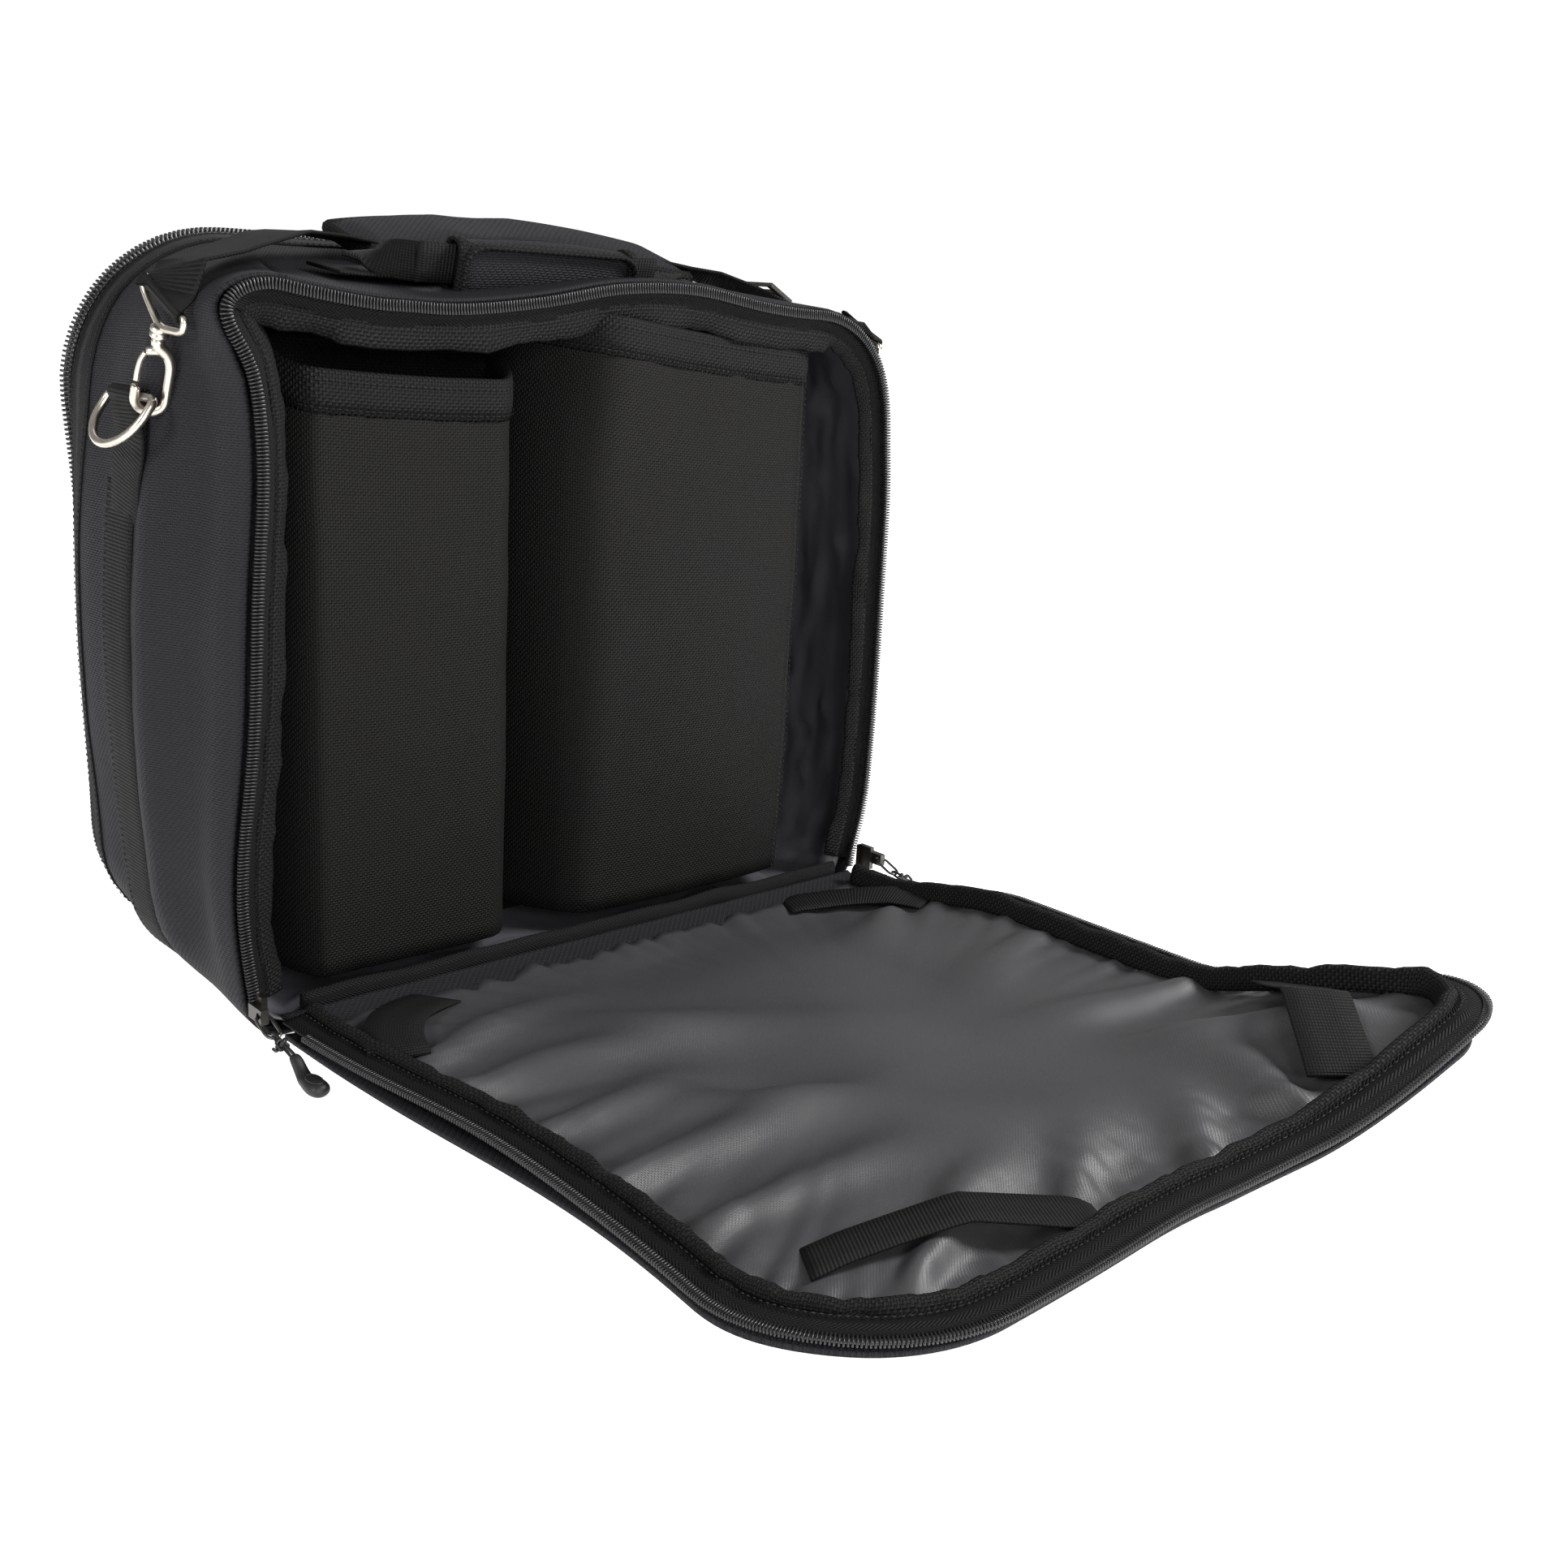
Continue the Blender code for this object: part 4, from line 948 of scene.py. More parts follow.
def flap_rows(inset, height, across, down, near):
    """Rows of points inside the flap's outline, near the hinge first."""
    rows = []
    radius = FLAP_RADIUS
    for r in range(down + 1):
        y = mix(near, FLAP_FAR_Y + inset, math.sin(math.pi / 2 * r / down) ** 0.9)
        limits = {}
        for side in (-1, 1):
            limit = WIDTH / 2 - inset
            corner_y = FLAP_FAR_Y + radius[side]
            if y < corner_y:
                reach = radius[side] - inset
                limit = WIDTH / 2 - radius[side] + math.sqrt(max(0, reach ** 2 - (corner_y - y) ** 2))
            limits[side] = side * limit
        row = []
        for c in range(across + 1):
            x = mix(limits[-1], limits[1], c / across)
            row.append(Vector((x, y, height(x, y))))
        rows.append(row)
    return rows


def make_flap():
    """Outer panel, padded lining, binding, zip tape, teeth and corner bands."""
    outer = flap_rows(0.004, lambda x, y: 0.0006 + 0.85 * flap_lift(x, y)
                      + 0.006 * smooth((0.022 - flap_edge_distance(x, y) - 0.012) / 0.02),
                      56, 56, FLAP_NEAR_Y)
    flap_soft(grid("flap_outer", outer, TWILL, "front_flap", ["flap_outer_panel"], 0.0024, -1))
    lining = flap_rows(0.0150, lining_height, 150, 150, FLAP_NEAR_Y - 0.001)
    piece = grid("flap_padded_lining", lining, SATIN, "front_flap", ["flap_lining", "flap_foam"],
                 0.0016, -1)
    flap_soft(piece)
    frames = flap_frames(0.0, 0.0, step=0.0035)

    def tape(k):
        ripple = 0.0007 * noise.noise(Vector((k * 0.23, 0, 14.0)))
        return [(0.0030, 0.0146), (0.0090, 0.0152 + ripple), (0.0160, 0.0168 + ripple),
                (0.0160, 0.0176 + ripple), (0.0090, 0.0162 + ripple), (0.0030, 0.0156)]

    flap_soft(sweep("flap_tape", frames, tape, TAPE, "front_flap", ["flap_zip_tape"]))

    def binding(k):
        puff = 0.0022 * noise.noise(Vector((k * 0.16, 0, 21.0))) \
            + 0.0012 * noise.noise(Vector((k * 0.55, 0, 25.0)))
        lean = 0.0016 * noise.noise(Vector((k * 0.30, 3.0, 27.0)))
        top = 0.0215 + puff
        return [(0.0146, 0.0150), (0.0150 + lean, top - 0.002), (0.0168 + lean, top),
                (0.0192 + lean, top - 0.0004), (0.0208 + lean, top - 0.003), (0.0226, 0.0130),
                (0.0224, 0.0100), (0.0180, 0.0095)]

    flap_soft(sweep("flap_binding_strip", frames, binding, BINDING, "front_flap", ["flap_binding"]))
    coil = flap_frames(COIL_INSET, FLAP_COIL_Z, 0.132)
    points = [f[0] for f in coil]

    def outward(place, along):
        return along.cross(Vector((0, 0, 1))).normalized()

    flap_soft(zip_teeth("flap_teeth", points, outward, lambda p, a: Vector((0, 0, 1)), "front_flap",
                        ["flap_zip_coil"]))
    flap_soft(rod("flap_cord", points, 0.0011, COIL, "front_flap", sides=8))
    stitches = [c + s * 0.0125 + r * 0.0178 for c, s, r in frames]
    flap_soft(stitch_line("flap_stitches", stitches, lambda p, a: Vector((0, 0, 1)), "front_flap"))
    bands = {
        "flap_corner_band_far_left": ((-0.150, -0.408), (-0.026, -0.466), 0.0125),
        "flap_corner_band_far_right": ((0.118, -0.462), (0.176, -0.400), 0.0135),
        "flap_corner_band_near_left": ((-0.176, -0.175), (-0.118, -0.116), 0.0135),
        "flap_corner_band_near_right": ((0.118, -0.116), (0.176, -0.175), 0.0135),
    }
    for node, (start, end, half) in bands.items():
        frames = []
        for share in spread(0.0, 1.0, 24):
            x, y = mix(start[0], end[0], share), mix(start[1], end[1], share)
            bow = 0.010 * math.sin(math.pi * share)
            side = Vector((end[1] - start[1], start[0] - end[0], 0)).normalized()
            if side.y * (y + 0.3) > 0 and node.startswith("flap_corner_band_far"):
                side = -side
            place = Vector((x, y, 0)) + (side * -bow if "near" in node else side * bow * 0.3)
            frames.append(place)
        across = Vector((end[1] - start[1], start[0] - end[0], 0)).normalized() * half
        for k, place in enumerate(frames):
            share = k / (len(frames) - 1)
            under = [lining_height(place.x + across.x * c, place.y + across.y * c)
                     for c in (-1.0, -0.5, 0.0, 0.5, 1.0)]
            place.z = max(under) + 0.0010 + 0.0035 * math.sin(math.pi * share) ** 0.7
        for _ in range(60):
            heights = [place.z for place in frames]
            for k in range(1, len(frames) - 1):
                frames[k].z = max(heights[k], (heights[k - 1] + heights[k + 1]) / 2)
        level = line_frames(frames, (end[1] - start[1], start[0] - end[0], 0))
        flap_soft(sweep("cloth_" + node, level, strap_profile(2 * half, 0.0012), WEBBING,
                        "front_flap", [node]))


# Rear door --------------------------------------------------------------------------------
def make_rear():
    """Padded rear door with piped pocket, and both rows of rear teeth."""
    def rear_path(inset, foot, step=0.004):
        """The body's rear outline, drawn in by inset and open below foot."""
        points = [Vector((x - nx * inset, 0, z - nz * inset)) for x, z, nx, nz in ring(REAR_Y)]
        points = [p for p in points if p.z > foot]
        return resample(points, step)

    line = rear_path(-0.0006, 0.026)
    for p in line:
        p.x *= 1 - 0.020 * smooth((0.30 - p.z) / 0.08)

    for name, y, body, node in (("rear_teeth", REAR_COIL_Y, "bag", "rear_zip_coil"),
                                ("rear_door_teeth", DOOR_COIL_Y, "rear_door", "rear_door_zip_coil")):
        points = [Vector((p.x, y, p.z)) for p in line]
        zip_teeth(name, points, out_of_outline, lambda p, a: Vector((0, 1, 0)), body, [node],
                  REAR_TOOTH_REACH, REAR_TOOTH_PITCH)
        rod(name + "_cord", points, 0.0014, COIL, body, sides=8)
    panel = rear_path(0.0012, 0.0, 0.006)
    panel = [Vector((p.x, 0, max(p.z, DOOR_FOOT))) for p in panel]
    panel += [panel[-1].lerp(panel[0], k / 40) for k in range(1, 40)]
    rows = []
    steps = 26
    for r in range(steps + 1):
        share = r / steps
        row = []
        for p in panel:
            x = p.x * mix(0.002, 1.0, share)
            z = mix(0.170, p.z, share) if p.z > 0.0140 else mix(0.170, DOOR_FOOT, share)
            dome = 0.0075 * smooth((1 - share) / 0.35) * smooth((z - 0.008) / 0.03)
            ripple = 0.0012 * rough(x, 0.0, z, 14.0, 5.0) * smooth((1 - share) / 0.2)
            row.append(Vector((x, 0.1038 + dome + ripple, z)))
        rows.append(row)
    grid("rear_door_cloth", rows, TWILL, "rear_door", ["rear_door_panel"], 0.004, 1, wrap=True)
    for name, inset, foot in (("rear_door_piping", 0.014, 0.020), ("rear_pocket_binding", 0.052, 0.060)):
        path = rear_path(inset, foot)
        points = []
        for p in path:
            share = 1 - inset / (WIDTH / 2)
            dome = 0.0075 * smooth((1 - share) / 0.35) * smooth((p.z - 0.008) / 0.03)
            points.append(Vector((p.x, 0.1080 + dome, p.z)))
        frames = line_frames(points, (0, 1, 0))
        sweep(name, frames, circle(0.0022, 10), WEBBING, "rear_door")


def make_hinge_cloth():
    """Cloth that crosses each fabric hinge."""
    rows = []
    for s in range(15):
        share = s / 14
        y = mix(-0.0948, -0.1210, share)
        rows.append([Vector((x, y, mix(0.0112, 0.0062, share ** 0.7) + 0.0004 * rough(x, y, 0, 40.0, 3.0)))
                     for x in spread(-0.190, 0.190, 80)])
    cloth_strip = grid("front_hinge_cloth", rows, TWILL, None, thickness=0.0012, offset=-1)
    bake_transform(cloth_strip)
    rows = []
    for s in range(15):
        share = s / 14
        y = mix(0.0900, 0.1052, smooth(share * 1.1))
        z = mix(0.0022, 0.0200, share ** 1.6)
        rows.append([Vector((x, y, z)) for x in spread(-0.150, 0.150, 60)])
    cloth_strip = grid("rear_hinge_cloth", rows, TWILL, None, thickness=0.0012, offset=0)
    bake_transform(cloth_strip)


# Webbing on the sides, rings and hooks ----------------------------------------------------
RING_BAR = Vector((0.2125, -0.010, 0.292))
HOOK_EYE = Vector((0.2125, -0.0290, 0.292))
HOOK_TILT, HOOK_TURN, RING_LEAN = math.radians(24), math.radians(20), math.radians(35)


def make_side_webbing(side, label):
    """The sewn strap, the folded loop with its ring, and the hook with its bail."""
    out = Vector((side, 0, 0))
    ys = 0.0100
    places = ring(ys)
    run = places[:SIDE_COUNT] if side < 0 else places[::-1][:SIDE_COUNT]
    points = []
    for place in run:
        point = skin_point(place, ys, 0.0036)
        if 0.004 < point.z < 0.262:
            points.append(point)
    top = points[-1]
    frames = line_frames(resample(points, 0.004), (0, 1, 0))
    sweep("side_webbing_" + label, frames, strap_profile(0.0320, 0.0018), WEBBING, "bag",
          ["side_strap_" + label])
    for shift in (-0.0135, 0.0135):
        line = [f[0] + f[1] * shift + Vector((side * 0.0011, 0, 0)) for f in frames]
        stitch_line("side_stitch_%s_%s" % (label, "a" if shift < 0 else "b"), line,
                    lambda p, a: out, "bag")
    bar = Vector((side * RING_BAR.x, -0.006, RING_BAR.z))
    radius = 0.0034
    loop = [Vector((top.x + side * 0.0020, ys - 0.006, top.z - 0.016)),
            Vector((top.x + side * 0.0022, ys - 0.010, top.z + 0.004)),
            bar + Vector((side * 0.0006, 0, -0.020))]
    for angle in (-40, 0, 45, 90, 135, 175):
        turn = math.radians(angle)
        loop.append(bar + Vector((side * math.cos(turn) * radius, 0, math.sin(turn) * radius)))
    loop += [bar + Vector((-side * 0.0046, 0, -0.012)),
             Vector((top.x - side * 0.0002, ys - 0.012, top.z + 0.004))]
    frames = line_frames(resample(spline(loop, 6), 0.0022), (0, 1, 0))
    sweep("ring_webbing_" + label, frames, strap_profile(0.0300, 0.0016), WEBBING, "bag",
          ["ring_loop_" + label])

    centre = Vector((side * RING_BAR.x, RING_BAR.y, RING_BAR.z))
    hang = Vector((side * math.sin(RING_LEAN), 0, -math.cos(RING_LEAN)))
    half, depth = 0.0245, 0.026
    outline = arc((-half + 0.004, 0.004), 0.004, 270, 180, 5)
    for k in range(25):
        angle = math.pi * (1 - k / 24)
        outline.append((half * math.cos(angle), 0.008 + (depth - 0.008) * math.sin(angle)))
    outline += arc((half - 0.004, 0.004), 0.004, 0, -90, 5)
    ring_points = [centre + Vector((0, u, 0)) + hang * v for u, v in outline]
    rod("ring_wire_" + label, ring_points, 0.0020, NICKEL, "ring_" + label, ["d_ring_" + label],
        closed=True, sides=14)

    eye = Vector((side * HOOK_EYE.x, HOOK_EYE.y, HOOK_EYE.z))
    up = Vector((0, -math.sin(HOOK_TILT), math.cos(HOOK_TILT)))
    wide = Matrix.Rotation(side * HOOK_TURN, 3, up) @ out
    reach = 0.0066

    def place(u, v):
        return eye + wide * u + up * v

    curve = [place(0, 0.0290), place(0, 0.0268), place(-0.0014, 0.0245), place(-0.0048, 0.0215),
             place(-reach, 0.0165), place(-reach, 0.008)]
    curve += [place(u, v) for u, v in arc((0, 0), reach, 180, 360, 16)]
    curve += [place(reach, 0.0040), place(reach, 0.0052)]
    rod("hook_cast_" + label, resample(spline(curve, 3), 0.0012),
        lambda s: 0.0030 - 0.0009 * smooth(s / 0.35), NICKEL, "hook_" + label,
        ["hook_body_" + label], sides=14)
    gate = [place(reach, 0.0078), place(reach, 0.0130), place(reach - 0.0006, 0.0180),
            place(reach - 0.0020, 0.0215)]
    rod("hook_shoulder_" + label, [place(-0.0046, 0.0226), place(0.0, 0.0232), place(0.0044, 0.0222)],
        lambda s: 0.0022 - 0.0004 * s, NICKEL, "hook_" + label)
    rod("hook_gate_wire_" + label, spline(gate, 5), lambda s: 0.0015 - 0.0003 * s, NICKEL,
        "gate_" + label, ["hook_gate_" + label])
    across = Vector((0, math.cos(HOOK_TILT), math.sin(HOOK_TILT)))
    apex = place(0, 0.0350)
    legs = [(0.0006, 0.0), (0.0045, 0.0008), (0.0100, 0.0030), (0.0180, 0.0062), (0.0212, 0.0085),
            (0.0215, 0.0115), (0.0205, 0.0133), (0.0150, 0.0136), (0.0, 0.0136)]
    outline = legs + [(-a, b) for a, b in legs[::-1][1:]]
    wire = [apex + across * a + up * b for a, b in outline]
    rod("bail_wire_" + label, resample(wire + [wire[0]], 0.0016)[:-1], 0.0017, NICKEL, "bag",
        ["hook_bail_" + label], closed=True)
    collar = [(0.0, 0.0032), (0.0006, 0.0040), (0.0020, 0.0042), (0.0024, 0.0035), (0.0030, 0.0034),
              (0.0036, 0.0042), (0.0052, 0.0041), (0.0058, 0.0030)]
    frames = []
    for v, r in collar:
        frames.append((place(0, 0.0294 + v), wide * (r / 0.004), wide.cross(up) * (r / 0.004)))
    sweep("swivel_collar_" + label, frames, circle(0.004, 18), NICKEL, "bag")
    return apex + up * 0.0136, across, up


def make_shoulder_strap(side, label, bar, across, up):
    """Webbing folded round the bail and laid over the corner to the pad."""
    out = Vector((side, 0, 0))
    frames = []
    for angle in (-86, -60, -30, 0, 30, 60, 84):
        turn = math.radians(angle)
        frames.append((bar + (out * math.cos(turn) + up * math.sin(turn)) * 0.0029, across))
    level = Vector((0, 1, 0))
    if side < 0:
        run = [(0.2050, -0.0485, 0.3500), (0.1975, -0.0450, 0.3530), (0.1880, -0.0400, 0.3552),
               (0.1770, -0.0325, 0.3580), (0.1660, -0.0240, 0.3605), (0.1540, -0.0140, 0.3630),
               (0.1430, -0.0040, 0.3652), (0.1350, 0.0040, 0.3668), (0.1270, 0.0110, 0.3678),
               (0.1145, 0.0200, 0.3686), (0.0960, 0.0270, 0.3685), (0.0775, 0.0300, 0.3668)]
    else:
        run = [(0.2055, -0.0485, 0.3410), (0.1950, -0.0440, 0.3370), (0.1840, -0.0340, 0.3385),
               (0.1740, -0.0240, 0.3440), (0.1600, -0.0100, 0.3517), (0.1460, 0.0040, 0.3594),
               (0.1300, 0.0150, 0.3632), (0.1145, 0.0220, 0.3665), (0.0950, 0.0280, 0.3675)]
    frames += [(Vector((side * x, y, z)), level) for x, y, z in run]
    line = [f[0] for f in frames]
    made = []
    for k, (point, reach) in enumerate(frames):
        along = (line[min(k + 1, len(line) - 1)] - line[max(k - 1, 0)]).normalized()
        reach = (reach - along * reach.dot(along)).normalized()
        made.append((point, reach, along.cross(reach)))
    dense = []
    for a, b in zip(made, made[1:]):
        for s in (0.0, 0.25, 0.5, 0.75):
            side_dir = a[1].lerp(b[1], s).normalized()
            dense.append((a[0].lerp(b[0], s), side_dir, a[2].lerp(b[2], s).normalized()))
    dense.append(made[-1])
    sweep("shoulder_webbing_" + label, dense, strap_profile(0.0380, 0.0017), WEBBING, "bag",
          ["shoulder_strap_" + label])


def inflate(piece, pressure, frames, cap):
    """Swell a padded piece with a short cloth simulation and keep the result."""
    scene = bpy.context.scene
    bpy.context.view_layer.objects.active = piece
    rest = [v.co.copy() for v in piece.data.vertices]
    swelling = piece.modifiers.new("swell", "CLOTH")
    settings = swelling.settings
    settings.quality = 5
    settings.use_pressure = True
    settings.uniform_pressure_force = pressure
    settings.tension_stiffness = 20
    settings.compression_stiffness = 20
    settings.bending_stiffness = 1.0
    settings.effector_weights.gravity = 0
    for step in range(1, frames + 1):
        scene.frame_set(step)
    graph = bpy.context.evaluated_depsgraph_get()
    shaped = piece.evaluated_get(graph).to_mesh()
    result = []
    for before, after in zip(rest, shaped.vertices):
        move = after.co - before
        if move.length > cap:
            move = move.normalized() * cap
        result.append(before + move)
    piece.modifiers.remove(swelling)
    scene.frame_set(1)
    for vertex, place in zip(piece.data.vertices, result):
        vertex.co = place
    return piece


def make_pad():
    """Shoulder pad: a long arched cushion with bound edges."""
    lean = math.radians(16)
    level = Vector((0, math.cos(lean), math.sin(lean)))
    rise = Vector((0, -math.sin(lean), math.cos(lean)))

    def middle(x):
        share = x / 0.1135
        return Vector((x + 0.021, 0.0285 - 0.004 * share, 0.3640 + 0.0080 * (1 - share * share)))

    def half_width(x):
        share = abs(x) / 0.1135
        return 0.0285 * (1 - 0.22 * share ** 4)

    xs = spread(-0.1000, 0.1000, 64)
    frames = []
    for x in xs:
        centre = middle(x)
        centre.z += 0.0016 * rough(x, 0.0, 0.0, 22.0, 3.0)
        frames.append((centre, level, rise))

    def profile(k):
        half = half_width(xs[k])
        end = smooth((0.1000 - abs(xs[k])) / 0.010)
        thick = 0.0020 + 0.0028 * end
        points = []
        for s in range(32):
            angle = TAU * s / 32
            c, d = math.cos(angle), math.sin(angle)
            points.append((half * math.copysign(abs(c) ** 0.55, c),
                           thick * math.copysign(abs(d) ** 0.65, d)))
        return points

    pad = sweep("pad_cushion", frames, profile, TWILL, "bag", ["shoulder_pad"])
    inflate(pad, 3.0, 14, 0.004)
    edge = [middle(x) + level * (half_width(x) + 0.0006) for x in xs]
    edge += [middle(x) - level * (half_width(x) + 0.0006) for x in reversed(xs)]
    edge = resample(edge + [edge[0]], 0.004)[:-1]
    frames = line_frames(edge, rise, closed=True)
    sweep("pad_binding", frames, [(-0.0040, -0.0010), (-0.0010, -0.0024), (0.0020, -0.0022),
                                  (0.0042, 0.0), (0.0036, 0.0030), (0.0, 0.0038), (-0.0036, 0.0024)],
          BINDING, "bag", closed=True)
    return pad


def make_handle():
    """Base webbing, folded grip webbing, and the padded wrap with its bound edges."""
    centre = -0.018
    y = -0.034
    line = []
    for x in spread(-0.112, 0.112, 40):
        share = (y - FRONT_Y) / (REAR_Y - FRONT_Y)
        height = mix(HEIGHT_FRONT, HEIGHT_REAR, share) + rim_shift(centre + x, 0.35)[1] * (1 - share) ** 1.6
        line.append(Vector((centre + x, y, height + 0.0030)))
    slope = Vector((0, 1, 0.1075)).normalized()
    frames = [(p, slope, Vector((1, 0, 0)).cross(slope)) for p in line]
    sweep("handle_base", frames, strap_profile(0.0320, 0.0016), WEBBING, "bag",
          ["handle_base_webbing"])
    pivot = Vector((centre, -0.030, 0.3567))
    pull = pivot + Vector((-0.009, -0.0340, 0.0014))
    lean = Vector((0, -0.0022, 0.0085)).normalized()
    points, sides = [], []
    for x, share in ((-0.098, -0.05), (-0.088, 0.15), (-0.078, 0.5), (-0.068, 0.9), (-0.058, 1.0),
                     (0.058, 1.0), (0.068, 0.9), (0.078, 0.5), (0.088, 0.15), (0.098, -0.05)):
        middle = pivot.lerp(pull, share) + Vector((x, 0, 0.0030 * (1 - share)))
        points.append(middle)
        sides.append(Vector((0, 1, 0)).lerp(lean, clamp(share)).normalized())
    path = spline(points, 6)
    frames = []
    for k, point in enumerate(path):
        spot = k / 6
        low = min(int(spot), len(sides) - 2)
        side = sides[low].lerp(sides[low + 1], spot - low).normalized()
        along = (path[min(k + 1, len(path) - 1)] - path[max(k - 1, 0)]).normalized()
        side = (side - along * side.dot(along)).normalized()
        frames.append((point, side, along.cross(side)))
    sweep("handle_grip_webbing", frames, strap_profile(0.0190, 0.0026), WEBBING, "handle",
          ["handle_webbing"])
    thick = lean.cross(Vector((1, 0, 0))).normalized()
    length = 0.0500

    def wrap_profile(k):
        end = smooth((length - abs(xs[k])) / 0.006)
        points = []
        for s in range(36):
            angle = TAU * s / 36
            c, d = math.cos(angle), math.sin(angle)
            points.append((0.0128 * math.copysign(abs(c) ** 0.5, c),
                           (0.0050 + 0.0022 * end) * math.copysign(abs(d) ** 0.7, d)))
        return points

    xs = spread(-length, length, 36)
    frames = []
    for x in xs:
        droop = 0.0014 * (x / length) ** 2
        frames.append((pull + Vector((x, 0, -droop + 0.0006 * rough(x, 0, 0, 40.0, 8.0))), lean, thick))
    wrap = sweep("grip_wrap", frames, wrap_profile, TWILL, "handle", ["handle_wrap"])
    inflate(wrap, 3.0, 12, 0.0025)
    edge = []
    for side in (1, -1):
        if side > 0:
            edge += [(length, -0.0105), (length, 0.0000)]
            edge += [(length - 0.010 + 0.010 * math.cos(t), 0.0020 + 0.0090 * math.sin(t))
                     for t in spread(0.0, math.pi / 2, 8)]
        else:
            edge += [(-x, z) for x, z in reversed(edge)]
    line = [pull + Vector((x, 0, -0.0008)) + lean * z - thick * 0.0068 for x, z in edge]
    line = resample(line, 0.003)
    frames = line_frames(line, thick)
    sweep("wrap_binding_front", frames, [(-0.0044, -0.0006), (-0.0034, -0.0018), (0.0, -0.0022),
                                         (0.0034, -0.0018), (0.0044, -0.0006), (0.0, 0.0010)],
          BINDING, "handle")
    seam = [place + (pull - place) * 0.12 - thick * 0.0006 for place in line[6:-6]]
    stitch_line("wrap_stitches", seam, lambda p, a: -thick, "handle")
    for name, x in (("wrap_binding_left", -length), ("wrap_binding_right", length)):
        line = []
        for s in range(36):
            angle = TAU * s / 36
            c, d = math.cos(angle), math.sin(angle)
            line.append(pull + Vector((x, 0, -0.0014)) + lean * (0.0132 * math.copysign(abs(c) ** 0.6, c))
                        + thick * (0.0066 * math.copysign(abs(d) ** 0.7, d)))
        frames = line_frames(line, (1, 0, 0), closed=True)
        sweep(name, frames, [(-0.0030, -0.0008), (0.0, -0.0014), (0.0024, -0.0010), (0.0028, 0.0004),
                             (0.0, 0.0012), (-0.0030, 0.0008)], BINDING, "handle", closed=True)


# Front zip pulls --------------------------------------------------------------------------
def make_pull(side, label):
    """Cord loop with its knot, and the drop-shaped grip, below each front slider."""
    body = "pull_" + label
    hinge = Vector((side * 0.2056, -HINGE_Y, 0.020))
    down = Vector((0, -0.93, -0.37)).normalized()
    start = hinge + down * 0.0155
    lay = Vector((0, -0.985, -0.17)).normalized()
    cord_start = start - lay * 0.0031
    cord_end = cord_start + lay * 0.0245
    upright = lay.cross(Vector((side, 0, 0))).normalized()
    points = []
    for k in range(40):
        angle = TAU * k / 40
        stretch = (1 + math.cos(angle)) / 2
        width = 0.0022 * math.sin(angle) * (0.45 + 0.55 * abs(2 * stretch - 1))
        points.append(cord_end.lerp(cord_start, stretch) + upright * width)
    cord = rod("pull_cord_" + label, points, 0.00075, RUBBER, body, closed=True, sides=8)
    knot_points = []
    middle = cord_start + lay * 0.0090
    flat = Vector((side, 0, 0))
    for k in range(48):
        angle = TAU * k / 48
        turn = 2 * angle
        radius = 0.0017 + 0.0008 * math.cos(3 * angle)
        knot_points.append(middle + (flat * math.cos(turn) + upright * math.sin(turn)) * radius
                           + lay * 0.0016 * math.sin(3 * angle))
    knot = rod("pull_knot_" + label, knot_points, 0.0011, RUBBER, body, closed=True, sides=8)
    tail = [middle, middle + upright * 0.002 + flat * 0.003 + lay * 0.001,
            middle + flat * 0.0058 + lay * 0.003 - upright * 0.001]
    end = rod("pull_tail_" + label, spline(tail, 5), 0.0008, RUBBER, body, sides=8)
    cord = join("pull_cord_" + label, [cord, knot, end])
    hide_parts("zip_cord_" + label)
    base = cord_end - lay * 0.0045
    shape = [(0.0, 0.0012), (0.0006, 0.0024), (0.0030, 0.0030), (0.0080, 0.0034), (0.0140, 0.0044),
             (0.0190, 0.0052), (0.0235, 0.0050), (0.0262, 0.0036), (0.0274, 0.0010)]
    line = spline([Vector((v, r, 0)) for v, r in shape], 4)
    frames = []
    for p in line:
        spot = Vector((base.x, base.y - p.x, mix(base.z, 0.0046, smooth(p.x / 0.012))))
        frames.append((spot, Vector((1, 0, 0)) * (p.y / 0.005), Vector((0, 0, 1)) * (p.y / 0.005)))
    sweep("pull_grip_" + label, frames, circle(0.005, 20, 0.72), RUBBER, body, ["zip_grip_" + label])
    groove = Vector((base.x, base.y - 0.0190, 0.0046 + 0.0036))
    line = [groove + Vector((0.0030 * math.cos(TAU * k / 24), 0.0055 * math.sin(TAU * k / 24),
                             -0.0003)) for k in range(24)]
    rod("pull_grip_rim_" + label, line, 0.0004, RUBBER, body, closed=True, sides=6)


# Frame parts that stay --------------------------------------------------------------------
def finish_frame_parts():
    """Metal parts whose frame shape is right: finer edges and their own finish."""
    for node in ("zip_slider_left", "zip_slider_right", "rear_zip_slider", "strap_adjuster"):
        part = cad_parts[node]
        part.data.materials.clear()
        part.data.materials.append(DARK_METAL)
        bevel = part.modifiers.new("edges", "BEVEL")
        bevel.width = 0.0006
        bevel.segments = 3
        bevel.limit_method = "ANGLE"
    for node in ("zip_bail_left", "zip_bail_right", "rear_zip_pull"):
        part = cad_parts[node]
        part.data.materials.clear()
        part.data.materials.append(DARK_METAL)


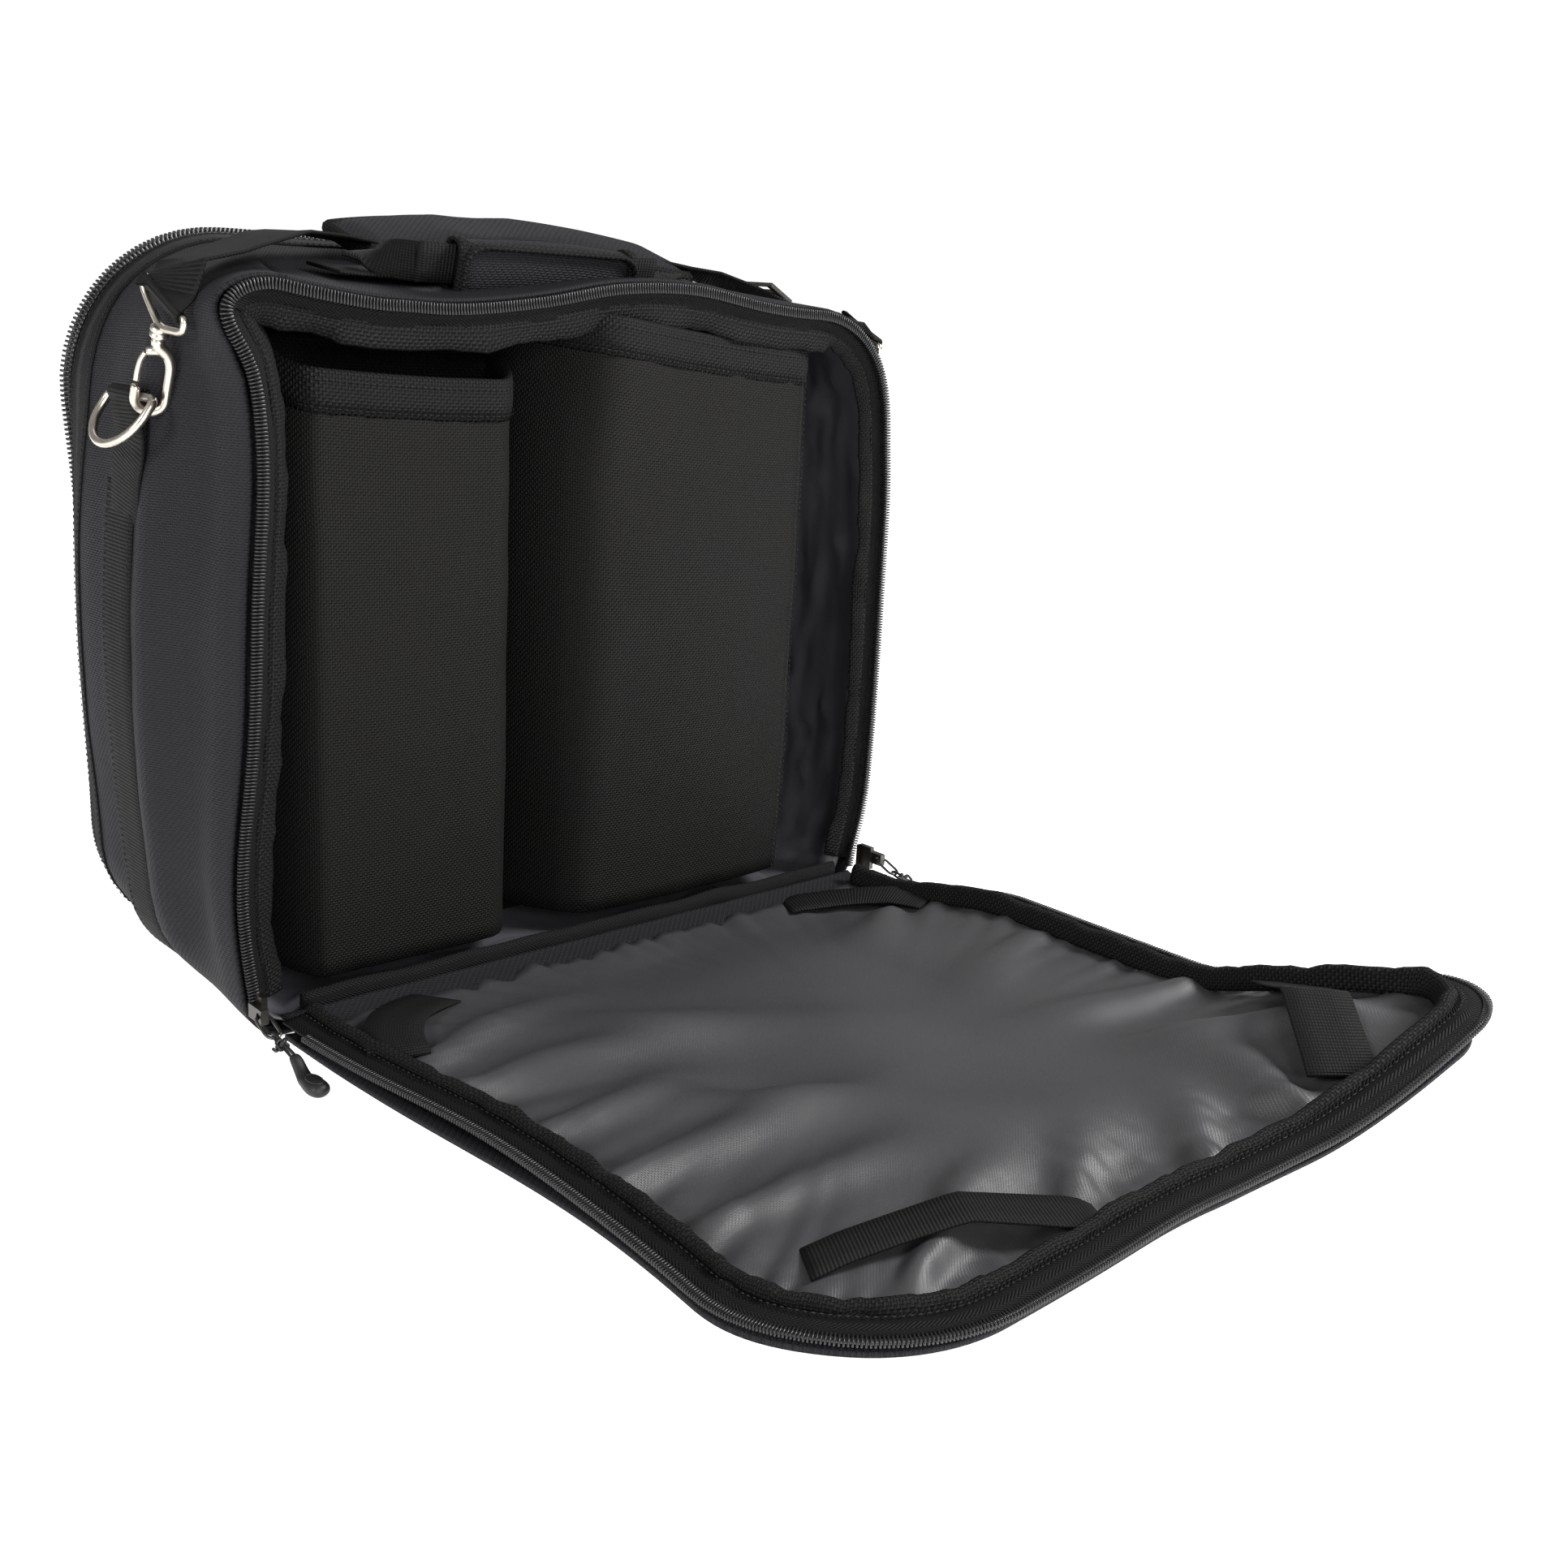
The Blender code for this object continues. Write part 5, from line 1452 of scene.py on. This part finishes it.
# Stage ------------------------------------------------------------------------------------
def make_stage():
    """Pale floor and soft studio light."""
    mesh = bpy.data.meshes.new("floor")
    size = 12.0
    mesh.from_pydata([(-size, -size, -0.0006), (size, -size, -0.0006), (size, size, -0.0006),
                      (-size, size, -0.0006)], [], [(0, 1, 2, 3)])
    floor = bpy.data.objects.new("floor", mesh)
    material = bpy.data.materials.new("floor")
    material.use_nodes = True
    shader = material.node_tree.nodes["Principled BSDF"]
    shader.inputs["Base Color"].default_value = (0.97, 0.97, 0.97, 1.0)
    shader.inputs["Roughness"].default_value = 0.9
    shader.inputs["Emission Color"].default_value = (1.0, 1.0, 1.0, 1.0)
    shader.inputs["Emission Strength"].default_value = 0.80
    mesh.materials.append(material)
    bpy.context.scene.collection.objects.link(floor)
    world = bpy.data.worlds.new("studio")
    world.use_nodes = True
    background = world.node_tree.nodes["Background"]
    background.inputs["Color"].default_value = (1.0, 1.0, 1.0, 1.0)
    path = add_node(world.node_tree, "LightPath")
    seen = maths(world.node_tree, "MULTIPLY", path.outputs["Is Camera Ray"], 0.72)
    world.node_tree.links.new(maths(world.node_tree, "ADD", seen, 0.32), background.inputs["Strength"])
    bpy.context.scene.world = world
    for name, place, target, power, span in (
            ("key", (1.5, -1.4, 1.7), (0.0, -0.20, 0.10), 92.0, 0.7),
            ("left", (-1.9, -0.2, 1.0), (-0.2, 0.0, 0.15), 24.0, 0.6),
                                        ("fill", (-0.7, -1.9, 0.75), (0.0, -0.05, 0.22), 22.0, 0.6),
            ("back", (0.7, 1.5, 1.5), (0.0, -0.25, 0.05), 4.0, 1.1)):
        data = bpy.data.lights.new(name, "AREA")
        data.energy = power
        data.size = span
        lamp = bpy.data.objects.new(name, data)
        direction = Vector(target) - Vector(place)
        lamp.location = place
        lamp.rotation_euler = direction.to_track_quat("-Z", "Y").to_euler()
        bpy.context.scene.collection.objects.link(lamp)
    scene = bpy.context.scene
    scene.view_settings.view_transform = "Standard"


make_camera()
make_body()
make_rim()
make_inside()
make_flap()
make_rear()
make_hinge_cloth()
for SIDE, LABEL in ((-1, "left"), (1, "right")):
    BAR, ACROSS, UP = make_side_webbing(SIDE, LABEL)
    make_shoulder_strap(SIDE, LABEL, BAR, ACROSS, UP)
    make_pull(SIDE, LABEL)
make_pad()
make_handle()
finish_frame_parts()
make_stage()
